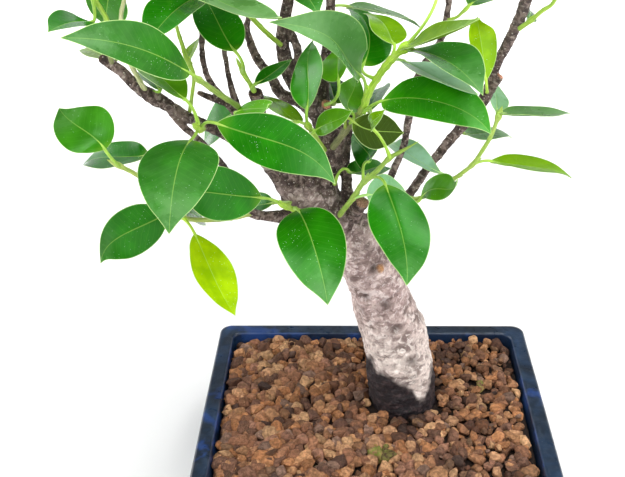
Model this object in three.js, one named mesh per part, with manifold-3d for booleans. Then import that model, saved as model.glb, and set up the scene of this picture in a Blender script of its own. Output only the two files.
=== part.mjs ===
// Potted fig bonsai: a curved trunk with bare upper limbs and glossy leaves, in a shallow
// rectangular glazed pot filled with fired-clay grains.
// Millimetres. +Z is up, +X runs along the pot's long side, and the origin is the middle of
// the pot at the level its feet stand on. The front of the tree faces -Y.
import * as THREE from 'three';
import Module from 'manifold-3d';

const wasm = await Module();
wasm.setup();
const { Manifold, Mesh: SolidMesh } = wasm;

// Driving dimensions
const POT_LENGTH = 210;        // over the lip
const POT_WIDTH = 165;         // over the lip
const POT_HEIGHT = 65;         // feet included
const FOOT_HEIGHT = 7;
const FLOOR_THICKNESS = 6;
const LIP_WIDTH = 10;          // flat top of the lip
const LIP_HEIGHT = 9.5;
const LIP_OVERHANG = 4.5;      // lip beyond the wall below it
const WALL_TAPER = 9;          // each wall leans in by this much towards the floor
const CORNER_RADIUS = 12;
const DRAIN_RADIUS = 12;
const DRAIN_SPACING = 84;      // between the centres of the two drain holes
const GAP = 0.3;               // clearance between pieces that touch
const MESH_BARS = 5;
const MESH_PITCH = 8;
const MESH_BAR = 1.5;
const WIRE_RADIUS = 0.75;
const SOIL_EDGE = 58.6;        // soil level beside the pot wall
const SOIL_CROWN = 2.4;        // how much higher the soil is in the middle
const GRAIN_RELIEF = 1.1;
const LEAF_THICKNESS = 0.95;
const STALK_RADIUS = 0.8;
const SHOOT_SIDES = 6;
const SLIVER = 0.02;           // edges shorter than this are merged after the cuts
const FULL_SECTIONS = [0, 0.05, 0.15, 0.28, 0.42, 0.56, 0.70, 0.83, 0.93, 1];
const SMALL_SECTIONS = [0, 0.08, 0.24, 0.42, 0.62, 0.82, 1];
const CROWN_SECTIONS = [0, 0.16, 0.44, 0.76, 1];
const WIDEST_AT = 0.41;        // widest point of a blade, as a share of its length

// Wood of the trunk and its limbs: name, sides, then centre-line points [x, y, z, radius] in millimetres.
const WOOD = [
  ['trunk', 12, [[18,8.2,40,15],[18.2,8.3,52,23],[18.5,8.3,56.8,20.6],[17.8,8.6,71.1,20.2],[14,9,102.6,19.4],[9,8.5,121.5,18.3],[3.7,7,139.7,16.4],[-2.1,5,157.6,15.2],[-8.5,3,174.9,15.4],[-14.1,0,186.4,14.2],[-17.9,-1,190.8,12]]],
  ['limb_mid', 8, [[-19,-1,191.4,12.5],[-28.9,-2,205.7,11],[-29.2,-2,220.2,8.2],[-25.8,-2,233.1,7.6],[-23.8,-2,246.2,7.4],[-28.3,-2,257.4,6],[-28.6,-2,266.6,4.4],[-26.3,0,284.9,2.8],[-24.1,0,302.2,2.4],[-22.9,0,315.9,2.3],[-21.7,-2,333,2],[-19,2,352,1.8]]],
  ['limb_left', 8, [[-20.7,-1,192.7,13],[-30.3,-2,203.2,12.2],[-39.2,-3,214.7,11.8],[-49.2,-6,229.3,8.7],[-59.2,-11,242.6,6.2],[-72.4,-16,252.1,4],[-85.9,-20,259.9,2.7],[-93.8,-21,264.7,2.5],[-101.1,-22,269.9,2.9],[-108,-22,274.4,3.7],[-116.6,-22,280.6,2.9],[-124.3,-22,289.3,2.7],[-132.6,-22,296.1,2.5]]],
  ['limb_low', 6, [[-34.7,-3,200.1,7],[-46.6,-5,199.9,4.6],[-56,-9,201.9,3],[-66,-15,207.3,2.7],[-72,-19,221.9,2.2],[-78.7,-22,239.4,1.7],[-87.4,-22,250.5,1.7],[-92,-22,255.7,1.7],[-96.6,-22,260.3,1.75],[-101.8,-22,267.8,2.2]]],
  ['limb_right', 6, [[-12.4,-1,191.4,8],[-14,-1,200.1,5.4],[-15.1,-1,208.8,3.5],[-15.9,-1,219.6,2.9],[-16.6,0,230.9,2.8],[-15.5,4,243.5,2.8],[-12.3,8,257,2.2]]],
  ['twig_r1', 5, [[-7.4,-1,187.6,5],[2.3,2,204,2.6],[8.7,6,219.6,2.1],[14.4,10,233.1,1.9],[17.2,12,249.5,2.1],[22.3,14,274.2,2],[32.9,16,291.9,1.8],[35.6,18,310.2,1.7],[36.8,18,325.9,1.6]]],
  ['limb_far', 6, [[-5.2,0,178,6.5],[8.1,6,193.7,3],[19.1,12,204.9,2.6],[29.3,16,219.5,2.5],[37.7,18,230.5,2.5],[46.4,20,241.3,2.8],[54.6,22,250.8,2.8],[58.8,22,258.7,3.3],[62.3,22,274.7,2.7],[67.9,22,287.5,2.8],[72.8,22,301,3.1],[75.6,22,313.6,2.9],[78.7,22,327.3,2.4]]],
  ['leader_b', 6, [[-26.3,-2,254.6,5],[-35.3,-1,265.2,4],[-43.2,0,275.6,3.7],[-46.1,0,285.1,3.5],[-47.2,0,295.4,3.4],[-46.1,0,304.4,3.2],[-43.7,0,316.2,2.8],[-43.5,-3,330.3,2.3]]],
  ['leader_b2', 5, [[-44.1,0,277.8,2.4],[-39.9,-3,286.1,2.2],[-39.6,-4,293.1,2.2],[-42,-2,299,2.1],[-45.1,-1,303.7,2.4]]],
  ['leader_c', 6, [[-31.4,-1,258.6,4.6],[-40.1,2,263.5,3.4],[-49.5,5,266.3,2.9],[-53.8,6,274.6,2.5],[-60,6,283.2,2.3],[-64,6,293.7,2.1],[-65.2,6,299.8,1.6],[-63,6,310.8,1.4],[-63.4,8,324,1.3]]],
  ['twig_d', 5, [[-67.2,-12,244.8,3.4],[-69,-11,257.6,2.3],[-71.2,-9,267.1,1.9],[-74.1,-7,279.5,1.4],[-75.4,-6,291.1,1.3],[-76.8,-6,304.6,1.3],[-78.7,-6,318.3,1.2],[-79.5,-8,329.2,1.2]]],
  ['twig_e', 5, [[-69.4,-11,259.8,2.1],[-77.3,-14,272.3,1.8],[-82.5,-17,282.3,1.6],[-84.3,-19,293.1,1.5],[-83.6,-20,304.2,1.5],[-80.9,-22,316.2,1.4]]],
  ['stub_e2', 5, [[-73.7,-13,268.1,1.7],[-81,-16,272,1.6],[-87.9,-20,277,1.4]]],
  ['stub_far', 6, [[60.1,21,261.3,2.4],[64.7,18,269.9,1.8]]],
  ['stub_s4', 6, [[-59.2,-11,242.6,4.5],[-58.7,-14,255.5,3],[-58.5,-20,268.7,3],[-59.3,-26,279.3,3.2]]],
  ['stub_trunk', 6, [[-12.4,-5,201.1,5],[-10.3,-9,207.5,4],[-7.4,-14,213.2,3.6]]],
  ['twig_b', 6, [[-91.9,-21,263.9,2.3],[-87.3,-31,265.6,2.2],[-83.7,-40,266.6,2.2]]],
  ['cut_mid', 6, [[-28.1,-5,260.2,3.4],[-25.8,-11,266.9,2.8]]],
  ['limb_crown_back', 6, [[-22.5,0,318,2.3],[-16,24,330,2],[-9,48,340,1.8],[-4,66,345,1.5]]],
  ['limb_crown_right', 6, [[75.9,22,315,2.4],[90,40,326,1.7],[98,52,336,1.4]]],
  ['root_0', 6, [[8.5,10.7,54,9],[-5.1,14.1,47,6.5],[-18.7,17.5,38,4],[-30.3,20.4,29,2.2]]],
  ['root_1', 6, [[15.3,-1.3,54,9],[11.3,-14.7,47,6.5],[7.3,-28.1,38,4],[3.8,-39.6,29,2.2]]],
  ['root_2', 6, [[26.5,2.8,54,9],[38.2,-5,47,6.5],[49.8,-12.8,38,4],[59.8,-19.4,29,2.2]]],
  ['root_3', 6, [[23.2,17,54,9],[30.2,29.1,47,6.5],[37.2,41.2,38,4],[43.3,51.6,29,2.2]]],
];
// Green shoots: name, then centre-line points [x, y, z, radius].
const SHOOTS = [
  ['shoot_low', [[-64.9,-15,207.3,1.4],[-78.5,-28,210.9,1.25],[-87.5,-36,214.8,1.2],[-96.8,-44,220.9,1.2],[-106.5,-46,234.3,1.1],[-116.2,-47,245.7,1.1],[-123.6,-48,251,1.1]]],
  ['shoot_front', [[-83.7,-40,266.6,1.6],[-84.2,-44,268.1,1.5],[-84.8,-48,270.8,1.3]]],
  ['shoot_upleft', [[-65.5,-13,245.2,1.5],[-64.2,-26,262.3,1.4],[-65.2,-40,276.6,1.35],[-70.1,-49,285.1,1.3],[-75.1,-58,293.4,1.3],[-78.4,-65,299.7,1.15]]],
  ['shoot_s4', [[-59.4,-26,278.8,1.2],[-60.3,-27,281.7,1.1],[-64.4,-27,289.7,1.1],[-65.6,-27,292.7,0.9]]],
  ['shoot_trunk', [[-36.3,-13,205.5,1.6],[-41.5,-30,217.1,1.4],[-46.8,-38,224,1.3]]],
  ['shoot_mid', [[-20.5,-9,201.5,1.5],[-16.6,-18,211.8,1.4],[-12.4,-25,221.3,1.35],[-7.5,-30,232.3,1.3],[-0.2,-33,241,1.2],[6,-35,248.9,1.1],[11.1,-36,252.5,0.9],[16.7,-37,256.6,0.35]]],
  ['shoot_main', [[-22.7,-9,242.6,1.9],[-15.9,-18,255.8,1.7],[-8.1,-26,269.7,1.6],[-4.9,-31,280.7,1.7],[-1.3,-33,287.9,1.6],[2.7,-35,294.8,1.7],[6.7,-36,299.9,1.6],[10.2,-37,303.4,1.3]]],
  ['shoot_c', [[-27.3,-9,240.9,1.5],[-29.9,-20,250.9,1.3],[-32.1,-34,262.4,1.2],[-33.5,-42,268.4,1.2]]],
  ['shoot_right', [[17.3,8,203.3,1.4],[24,3,206.5,1.2],[32.1,0,212.9,1.1],[40.1,-2,219.8,1.1],[45,-3,224.4,1.1],[49.8,-4,229.5,1.1],[54.6,-3,237.1,1.1],[59.1,0,244.2,1.1],[62.9,6,251.7,1]]],
  ['shoot_tipright', [[71.9,19,294.7,1.3],[76.9,16,300.1,1.2],[81.4,14,305.2,1.1],[86,12,309.7,1],[87.5,12,318,0.9]]],
  ['shoot_tr2', [[35.3,15,301,0.9],[39.5,13,303,0.8],[43.1,12,306.8,0.8]]],
  ['shoot_l1', [[-127.5,-23,292.9,1.3],[-127.4,-26,305.7,1.2],[-125.9,-28,316.7,1.2],[-127.4,-30,321.9,1.1],[-129.6,-32,328.8,1.1]]],
  ['shoot_l2', [[-112.7,-23,278.7,1.3],[-115,-26,286.9,1.2],[-117.7,-27,294.7,1.15],[-119,-28,305.3,1.1],[-118.4,-30,317.2,1],[-114.7,-32,327.7,0.9]]],
  ['shoot_l3', [[-93.5,-20,264.8,1],[-91,-20,275.8,0.95],[-88.9,-23,288.6,1],[-90.6,-24,293.9,1.2],[-92.3,-26,303.3,1],[-93.5,-28,311.6,0.9],[-94.2,-30,323.3,0.9],[-94.4,-32,331.9,0.9]]],
  ['shoot_l4', [[-47.7,-4,295.2,1.2],[-54.2,-10,303.6,1.2],[-59.5,-15,311.5,1.2],[-63.8,-19,318.9,1.1],[-68.4,-23,326.5,1],[-74.4,-28,335.9,1]]],
  ['crown_01', [[-19.2,2.2,350,1.25],[-19.3,1.8,362.6,1.15],[-17.3,0.4,373.8,1],[-15.4,-1,384,0.7]]],
  ['crown_02', [[-43,-2.2,328.5,1.25],[-48.1,-6.9,341.5,1.15],[-50,-12.5,353.8,1],[-51.5,-17.4,365.2,0.7]]],
  ['crown_03', [[-77.9,-7.9,327.9,1.25],[-90.2,-7.6,336.1,1.15],[-99.1,-8.7,346.1,1],[-106.6,-9.8,355.6,0.7]]],
  ['crown_04', [[-62.7,6.4,323.1,1.25],[-69.7,21.3,329.2,1.15],[-74.7,33.2,339,1],[-78.9,43.3,348.7,0.7]]],
  ['crown_05', [[-4.2,64.2,344.2,1.25],[-3.6,74.3,347.1,1.15],[-2.2,81.6,351.7,1],[-1.1,87.9,356.3,0.7]]],
  ['crown_06', [[36.6,18.2,324,1.25],[36.2,17.6,338,1.15],[38.2,15.7,350.6,1],[40.1,14,362.2,0.7]]],
  ['crown_07', [[77,22.1,326.2,1.25],[89.3,21.6,336.7,1.15],[101.7,20.7,344.3,1],[112.5,19.9,351.6,0.7]]],
  ['crown_08', [[97.2,50.4,335.1,1.25],[99.9,58.9,339.1,1.15],[103.3,64.8,343.4,1],[106.3,69.8,347.7,0.7]]],
];
// Leaves: node, what carries the stalk, stalk start, blade base, two controls of the midrib, tip, face normal,
// blade width, fold angle of each half in degrees, tone.
const LEAVES = [
  ['leaf_01', 'shoot_upleft', [-78.4,-65,299.7], [-81.1,-72,305.6], [-91.4,-81.8,317.8], [-103.8,-91,327.7], [-123.9,-102.3,330.9], [0.65,-0.38,0.65], 24.2, 8, 'haze'],
  ['shoot_l4', 'shoot_l4', [-68.4,-23,326.5], [-80.2,-30,327.6], [-89.8,-42.9,326.7], [-93.9,-55,322.9], [-99.7,-66.3,316.5], [-0.1,-0.24,0.97], 26.5, 10, 'green'],
  ['leaf_02', 'shoot_s4', [-64.4,-27,289.7], [-65.6,-41,304.7], [-73,-32,310], [-78.2,-17.4,320.6], [-85.1,-6.2,321.3], [0.24,-0.31,0.92], 23.0, 1, 'dark'],
  ['leaf_03', 'shoot_l4', [-74.4,-28,335.9], [-87,-42,335.3], [-73.1,-53.1,334.3], [-53.3,-68.8,325.5], [-41.1,-77.5,330.6], [0.12,0.03,0.99], 26.7, 9, 'pale'],
  ['leaf_04', 'shoot_main', [-6.3,-31,280.3], [-8.5,-34,289.8], [-21.1,-48.3,306.2], [-13.1,-56.2,319.1], [-47.9,-63.3,324.4], [0.74,-0.58,0.35], 27.7, 35, 'pale'],
  ['leaf_05', 'shoot_main', [3.3,-33,294.6], [6.4,-30.9,303.8], [3.7,-20.5,305.1], [5.2,-6.9,309], [-7.4,4.6,308], [0.19,-0.04,0.98], 17.8, 6, 'lime'],
  ['leaf_06', 'wood', [-23.6,0.5,306], [-15.4,26,305.6], [-0.8,30.1,301.7], [13.5,35.9,298.7], [24.2,39.2,289.6], [0.33,0.15,0.93], 22.7, 8, 'pale'],
  ['leaf_07', 'shoot_main', [10.2,-37,303.4], [10.8,-41.8,305.9], [17.4,-51.6,311.5], [27,-61.4,316.8], [39.3,-68.3,326.5], [-0.52,0.1,0.85], 20.6, 16, 'olive'],
  ['leaf_08', 'wood', [58.6,21,260.2], [56.1,11.6,270.4], [53.5,20.7,291], [51.3,22.3,294.4], [51.9,27.2,298.7], [0.55,-0.69,0.46], 19.4, 12, 'lime'],
  ['leaf_09', 'shoot_main', [9.7,-38,303.3], [14.3,-42,305.1], [25.5,-56.2,307], [32.9,-69.4,307.1], [40.3,-84.9,299.7], [0.06,-0.09,0.99], 27.6, 18, 'haze'],
  ['leaf_10', 'shoot_main', [5.9,-34,297.8], [10.8,-37.1,297.9], [17.3,-46.7,298.3], [31,-59.6,292.4], [40.7,-68.5,293.8], [0.21,0.07,0.98], 23.2, 11, 'blue'],
  ['leaf_11', 'shoot_main', [-7.1,-27,269], [0.9,-41,280.1], [13.1,-52.5,289], [38.5,-64.3,288.7], [46,-77.8,279.3], [-0.29,-0.37,0.88], 25.7, 9, 'green'],
  ['leaf_12', 'wood', [-28.4,-3,263.2], [-19.2,-30.4,286.6], [-20.4,-19.5,291.2], [-19.8,-8.2,293.6], [-17.3,3.4,293.9], [-0.66,-0.12,0.74], 21.5, 10, 'bright'],
  ['leaf_13', 'shoot_main', [-13.9,-21,260.3], [-12.6,-24,267.3], [-19.2,-15,269.9], [-9.5,-7,269.5], [-10.8,5.2,277.7], [0.68,-0.28,0.68], 17.1, 8, 'bright'],
  ['leaf_14', 'shoot_c', [-33.5,-42,268.4], [-33.6,-46,278.5], [-31.6,-32.8,287.9], [-36.7,-20.9,292.4], [-31.8,-6,298.2], [-0.67,-0.3,0.68], 20.9, 7, 'gloss'],
  ['shoot_s4', 'shoot_s4', [-60,-28,281.6], [-58.8,-29,284.5], [-51.8,-23.2,286.2], [-47.8,-16.1,288.8], [-42.4,-9.2,289.5], [-0.09,-0.18,0.98], 11.3, 8, 'green'],
  ['shoot_c', 'shoot_c', [-33.1,-41,266.9], [-38.4,-30,265.6], [-47.1,-21.3,264.9], [-51.3,-7.9,270.8], [-58.9,0.6,267.5], [0.36,0.18,0.91], 20.1, 3, 'olive'],
  ['shoot_upleft', 'shoot_upleft', [-64.3,-37,273.3], [-67.1,-43,275.8], [-62.8,-47.7,281.3], [-47.8,-55.1,280.9], [-50,-59.8,286.6], [-0.57,-0.06,0.82], 12.9, 0, 'bright'],
  ['leaf_15', 'shoot_front', [-84,-43,267.1], [-74.5,-53,274.6], [-47.7,-60.7,267.1], [-31.7,-65.7,270.7], [-20.3,-83.1,258.6], [-0.43,-0.88,0.2], 25.7, 8, 'green'],
  ['shoot_upleft', 'shoot_upleft', [-64.2,-29,265.1], [-72.8,0.3,259], [-83,6.5,251.2], [-90.4,13.7,242], [-94.8,22.1,231.3], [-0.85,-0.33,0.42], 25.7, 10, 'dark'],
  ['leaf_16', 'shoot_low', [-123.6,-48,251], [-127.8,-54,262.4], [-133.2,-50.3,270.5], [-144.7,-48.1,271.6], [-150.9,-39.9,277.5], [0.17,-0.58,0.8], 28.0, 12, 'green'],
  ['leaf_17', 'shoot_low', [-111.3,-46,239.8], [-111.9,-38,252.1], [-127.4,-35,248.6], [-141.2,-27.8,248.6], [-150.1,-23.3,239.9], [-0.33,-0.08,0.94], 24.4, 9, 'mid'],
  ['leaf_18', 'shoot_front', [-84.5,-45,269], [-86.3,-58,268.7], [-88.9,-74.8,271.1], [-90.4,-91.7,261.8], [-90.4,-105.2,246.4], [-0.04,-0.42,0.91], 36.0, 0, 'haze'],
  ['leaf_19', 'shoot_low', [-101.9,-45,228.2], [-103.4,-47,224.9], [-116.3,-59.6,221.8], [-130.2,-70.1,225.4], [-127.8,-86.4,220.3], [0.81,-0.53,0.25], 25.0, 8, 'green'],
  ['leaf_20', 'shoot_low', [-96.2,-45,220.9], [-90.5,-50,214.6], [-81.6,-63,201.3], [-76.4,-72.9,193.1], [-68.8,-80.9,187.4], [0.54,-0.31,0.78], 23.6, 10, 'lime'],
  ['leaf_21', 'shoot_trunk', [-45,-36,222.1], [-57.6,-40,229.5], [-74.7,-48.6,235.2], [-88.8,-57.4,243.8], [-90.9,-69.9,248.2], [0.73,-0.6,0.34], 26.3, 1, 'mid'],
  ['leaf_22', 'shoot_front', [-84.2,-48,272.3], [-88.7,-50,285.4], [-102.8,-39.7,292.6], [-106.1,-29.1,295.6], [-117.5,-19.6,293.6], [0.29,0.01,0.96], 22.6, 11, 'bright'],
  ['shoot_trunk', 'shoot_trunk', [-46.4,-37,223.8], [-55.6,-3.9,207.4], [-67,0.8,203.8], [-76.5,5.9,197.7], [-84.3,11.4,189.1], [-0.58,-0.12,0.81], 19.3, 10, 'dark'],
  ['shoot_low', 'shoot_low', [-99,-44,223.8], [-102.6,-40,224.5], [-96.3,-32.5,218.7], [-92.3,-25.4,211.5], [-90.4,-18.5,202.6], [0.82,0.11,0.57], 17.0, 10, 'mid'],
  ['leaf_23', 'shoot_trunk', [-42.4,-31,218], [-39.4,-48,226.9], [-34.4,-63.7,231.2], [-26.1,-85.1,215.2], [-24,-97.4,204.9], [-0.01,-0.41,0.91], 31.6, 2, 'green'],
  ['leaf_24', 'shoot_mid', [-4.5,-31,235.6], [3.1,-44,238.6], [8.1,-60.8,231.2], [13.6,-77.2,222.4], [11.5,-93.2,212.6], [0.22,-0.42,0.88], 29.3, 0, 'green'],
  ['leaf_25', 'shoot_mid', [-12.4,-25,221.3], [-5.4,-28,224.6], [1.6,-20.7,221.6], [8.3,-13.8,216.6], [18.5,-6.7,210.4], [0.73,-0.55,0.4], 21.9, 9, 'blue'],
  ['leaf_26', 'shoot_main', [-15.9,-17,255.4], [-12.4,-29.9,265.6], [-5,-27.3,257.2], [3.8,-19.2,256.2], [13.3,-11.9,251.4], [0.64,-0.73,0.24], 18.7, 12, 'under'],
  ['shoot_mid', 'shoot_mid', [5.5,-35,248.3], [-3.2,-46,268.3], [-7,-50.1,273.6], [-0.8,-55,276.5], [1.7,-57.8,283], [-0.95,-0.3,0.08], 8.0, 10, 'lime'],
  ['shoot_right', 'shoot_right', [40.6,-2,219.8], [35,6.6,219.8], [14,16,226.9], [8.6,28.5,232.6], [8.6,35.3,222.3], [0.03,-0.06,1], 18.6, 19, 'pale'],
  ['shoot_right', 'shoot_right', [18.8,5,203], [24.3,0,207.8], [30.2,0.3,220.7], [41.5,-11.7,212.2], [41.5,-11.7,225.3], [-0.75,-0.11,0.66], 17.9, 12, 'mid'],
  ['leaf_27', 'shoot_right', [49.8,-4,229.5], [60.2,0,229.9], [79.3,1.6,225.8], [95.2,5.9,223.7], [105.8,8.3,215.6], [0.29,0.03,0.96], 20.5, 12, 'limeg'],
  ['shoot_right', 'shoot_right', [62.9,6,251.7], [63.2,6.3,254.8], [81.8,10.4,250.4], [94.5,16.8,249.9], [103.9,22.5,247.3], [0.13,0.13,0.98], 20.4, 12, 'pale'],
  ['shoot_right', 'shoot_right', [62.9,6,251.7], [64.4,19,249.7], [65.6,28.2,254.1], [65.5,37.8,256.5], [64,48,256.9], [0.56,-0.19,0.8], 15.4, 10, 'paleblue'],
  ['leaf_28', 'wood', [37.2,18,229.3], [48.2,28,234.3], [56.7,31.5,228.9], [70.9,42,232.9], [78.7,45.3,222.9], [0.31,0.08,0.95], 17.8, 1, 'pale'],
  ['shoot_tr2', 'shoot_tr2', [43.1,12,306.8], [45,12,309.2], [50.8,19.1,310.9], [56.3,26.3,310.4], [61.3,33.6,307.6], [0.18,-0.06,0.98], 14.0, 10, 'pale'],
  ['shoot_tipright', 'shoot_tipright', [76.9,16,300.1], [76.5,21.7,298.5], [79.5,29.1,299.3], [81,36.8,299], [81,44.7,297.5], [0.79,-0.13,0.6], 9.7, 10, 'dark'],
  ['shoot_main', 'shoot_main', [-6.2,-28,275.1], [-3.5,-14.5,265], [-2.2,-4.2,267.6], [0.2,5.9,267.9], [3.9,15.8,266], [-0.47,0.08,0.88], 19.3, 10, 'blue'],
  ['shoot_mid', 'shoot_mid', [-7,-30,233.5], [-5.5,-18,238.4], [0.3,-8.3,236.2], [-9.2,2.4,237.6], [-14,13.8,240.4], [-0.78,-0.24,0.57], 17.0, 0, 'dark'],
  ['leaf_29', 'wood', [-22.2,-7.3,220.4], [-15,-14,231.8], [-9.1,-10,224.7], [6.8,3.5,231.6], [5.4,6.8,221.1], [0.34,0.15,0.93], 17.6, 11, 'mid'],
  ['shoot_c', 'shoot_c', [-32.1,-34,262.4], [-30.3,-42,265.8], [-26,-45.4,271.9], [-17,-50.5,274.1], [-12.9,-52.8,280.6], [-0.72,-0.4,0.56], 13.4, 12, 'gloss'],
  ['leaf_30', 'wood', [-28.1,-2,265.5], [-21.6,1.7,262.4], [-22.9,12.2,266.9], [-25.5,22.9,269], [-29.6,33.7,268.8], [0.5,-0.05,0.86], 22.8, 10, 'dark'],
  ['shoot_l3', 'shoot_l3', [-89.3,-24,292.9], [-90.5,-22,293.7], [-90.2,-15.5,297.1], [-88.9,-8.8,299], [-86.7,-1.8,299.5], [-0.56,-0.13,0.82], 8.8, 10, 'olive'],
  ['shoot_l1', 'shoot_l1', [-127.6,-25.5,303.6], [-129.4,-15,292.2], [-136.3,-10.1,294.3], [-143,-5.1,294.4], [-149.6,0.1,292.4], [-0.06,-0.09,0.99], 13.0, 10, 'limeg'],
  ['shoot_l2', 'wood', [-111,-22,278.3], [-106,-22,279.2], [-110.9,-14.5,281.9], [-116.3,-7.2,282.4], [-122.1,-0.2,280.7], [0.23,0.1,0.97], 14.0, 10, 'mid'],
  ['shoot_l2', 'shoot_l2', [-114.7,-32,327.7], [-122.3,-22,332.4], [-126.6,-18.7,322.5], [-130.1,-13.1,313.7], [-132.8,-5.2,306.1], [-0.3,-0.85,-0.42], 22.1, 10, 'mid'],
  ['shoot_l1', 'shoot_l1', [-129.6,-32,328.8], [-130.3,-36,317.3], [-132.6,-46.8,321.9], [-135.7,-57.8,323.9], [-139.7,-69.1,323.1], [0.28,0.09,0.96], 19.8, 10, 'dark'],
  ['crown_02', 'crown_02', [-44.9,-5.6,335.8], [-44.6,-6,331.9], [-38.6,-16.2,330.1], [-32.9,-25.3,325.5], [-27.6,-33.3,318.4], [0.14,-0.37,0.92], 22.3, 10, 'dark'],
  ['shoot_main', 'shoot_main', [-1.3,-33,287.9], [-7.6,-22,290.9], [-1.6,-12.2,298.1], [-3.4,1.7,308.7], [-15.8,11.5,308.7], [0.51,-0.3,0.8], 24.0, 10, 'dark'],
  ['shoot_main', 'shoot_main', [10.2,-37,303.4], [24.7,-34,326], [26.8,-24.8,332.1], [30.2,-15,335.9], [34.8,-4.8,337.3], [-0.45,-0.18,0.87], 18.7, 10, 'bright'],
  ['crown_01', 'crown_01', [-19.3,1.9,360.7], [-10.4,2.5,365.1], [2.6,3.5,371.2], [16.2,4.4,374.5], [30.6,5.4,372.6], [-0.18,-0.01,0.98], 22.8, 9, 'green'],
  ['crown_01', 'crown_01', [-19,1.6,364.6], [-24.8,6.1,369.7], [-33.6,13.3,379], [-43.6,21,385.9], [-55.3,29.6,388.8], [0.41,-0.19,0.89], 26.7, 7, 'green'],
  ['crown_01', 'crown_01', [-18.4,1.2,367.8], [-19.6,-6.8,369.6], [-21.1,-18.1,374.2], [-22.8,-29.8,376.7], [-24.9,-41.9,375.8], [0.12,0.15,0.98], 19.7, 7, 'mid'],
  ['crown_01', 'crown_01', [-17.7,0.7,371.4], [-13.8,7.1,374.3], [-8.7,15.7,380.6], [-3.2,24.9,385.3], [2.9,34.8,387.4], [-0.23,-0.3,0.93], 19.0, 12, 'olive'],
  ['crown_01', 'crown_01', [-16.7,-0.1,377.1], [-24.7,0.1,380.7], [-38,0.4,384.8], [-51.4,0.7,387.8], [-65.3,1,388.7], [0.19,-0.01,0.98], 22.5, 9, 'green'],
  ['crown_01', 'crown_01', [-16.1,-0.5,380.3], [-10.6,-8.3,382.5], [-3.6,-18.1,386.9], [3.5,-28,389.1], [10.9,-38.5,387.4], [-0.08,0.11,0.99], 20.3, 12, 'mid'],
  ['crown_02', 'crown_02', [-47,-5.9,338.6], [-51.3,-12.4,339.2], [-59.4,-25.4,343.6], [-67.8,-38.4,345.3], [-76.9,-51.4,342.5], [0.13,0,0.99], 28.6, 11, 'olive'],
  ['crown_02', 'crown_02', [-48.3,-7.4,342.6], [-42.1,-8.3,348.5], [-32.1,-10,356.4], [-21.3,-11.6,362.8], [-9.1,-13.1,366.7], [-0.48,-0.03,0.87], 20.5, 8, 'olive'],
  ['crown_02', 'crown_02', [-49.4,-10.8,350.1], [-58.5,-12.3,351.3], [-74.3,-16,354.8], [-90,-18.8,354.6], [-105.5,-20.1,348], [-0.03,-0.23,0.97], 26.0, 8, 'mid'],
  ['crown_02', 'crown_02', [-50.1,-13,354.8], [-49.6,-21,357], [-48.6,-34.6,362.6], [-47.7,-48.7,365.2], [-46.7,-63.4,362.6], [0,0.13,0.99], 24.1, 7, 'olive'],
  ['crown_02', 'crown_02', [-50.6,-14.5,358.3], [-50.7,-8.6,363.7], [-50.5,-2.7,373.4], [-50.5,4.9,381.4], [-51,15.1,386.6], [0.09,-0.69,0.72], 19.0, 7, 'green'],
  ['crown_02', 'crown_02', [-51.1,-16.2,362.3], [-55,-19.9,366.9], [-62.3,-27,374.7], [-70.1,-34.4,381.7], [-78.9,-42.2,387], [0.5,0.22,0.84], 20.7, 9, 'green'],
  ['crown_03', 'crown_03', [-86.2,-7.7,333.4], [-93.4,-8.1,333.2], [-107.7,-8.8,332.1], [-121.4,-9.5,329.1], [-134.2,-10.3,322.7], [-0.25,0.02,0.97], 22.8, 8, 'olive'],
  ['crown_03', 'crown_03', [-91,-7.7,336.9], [-98.3,0.5,340.2], [-107,7.8,344.6], [-114.9,16.1,346.7], [-121.5,26.4,344.7], [-0.29,-0.41,0.87], 21.5, 7, 'olive'],
  ['crown_03', 'crown_03', [-95,-8.2,341.4], [-98.2,0.9,344.2], [-103.8,12.7,351.6], [-108.6,25.5,355.9], [-112.3,40.3,354.4], [-0.19,-0.31,0.93], 24.9, 12, 'mid'],
  ['crown_03', 'crown_03', [-98.9,-8.7,345.9], [-102.7,-16,350.3], [-108.6,-25.7,356.3], [-114.2,-36.1,361.3], [-119.2,-47.6,364.5], [-0.27,0.51,0.82], 21.7, 13, 'green'],
  ['crown_03', 'crown_03', [-100.4,-8.9,347.8], [-100.1,-4.6,353.7], [-100.9,0.4,365.2], [-100.6,7.5,375], [-98.4,18,381.9], [-0.4,-0.7,0.59], 22.4, 9, 'bright'],
  ['crown_03', 'crown_03', [-101.6,-9.1,349.2], [-108.6,-8.8,345.5], [-118,-8.3,340.3], [-126.2,-7.9,333.7], [-132.2,-7.8,324.7], [-0.65,0.1,0.75], 16.9, 11, 'dark'],
  ['crown_03', 'crown_03', [-105.9,-9.7,354.7], [-110.4,-12.5,361.1], [-117.1,-15.4,369.6], [-124.5,-19.7,376.5], [-132.9,-26.1,380.6], [0.29,0.59,0.75], 17.9, 9, 'olive'],
  ['crown_04', 'crown_04', [-68.6,19.1,328.2], [-65.2,25.6,330.6], [-61.6,36.7,338.5], [-56.1,47.9,343.8], [-47.4,59.2,344.5], [-0.58,-0.03,0.81], 24.9, 12, 'bright'],
  ['crown_04', 'crown_04', [-69.9,21.7,329.4], [-80.5,25.3,331.4], [-92.7,31.2,336], [-105.6,36,338.5], [-119.8,38.7,337.3], [0.28,0.46,0.84], 26.1, 14, 'bright'],
  ['crown_04', 'crown_04', [-72.3,27.5,334.3], [-67.8,27.4,344.6], [-63.5,28,357.1], [-58.4,28.1,369.2], [-51.6,27,380.5], [-0.78,0.51,0.36], 24.7, 7, 'mid'],
  ['crown_04', 'crown_04', [-74.1,31.8,337.9], [-77.4,37.6,332.4], [-82.4,46.3,324.8], [-87,54.3,316.5], [-90.8,61.4,306.8], [-0.42,0.55,0.73], 21.8, 11, 'dark'],
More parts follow.
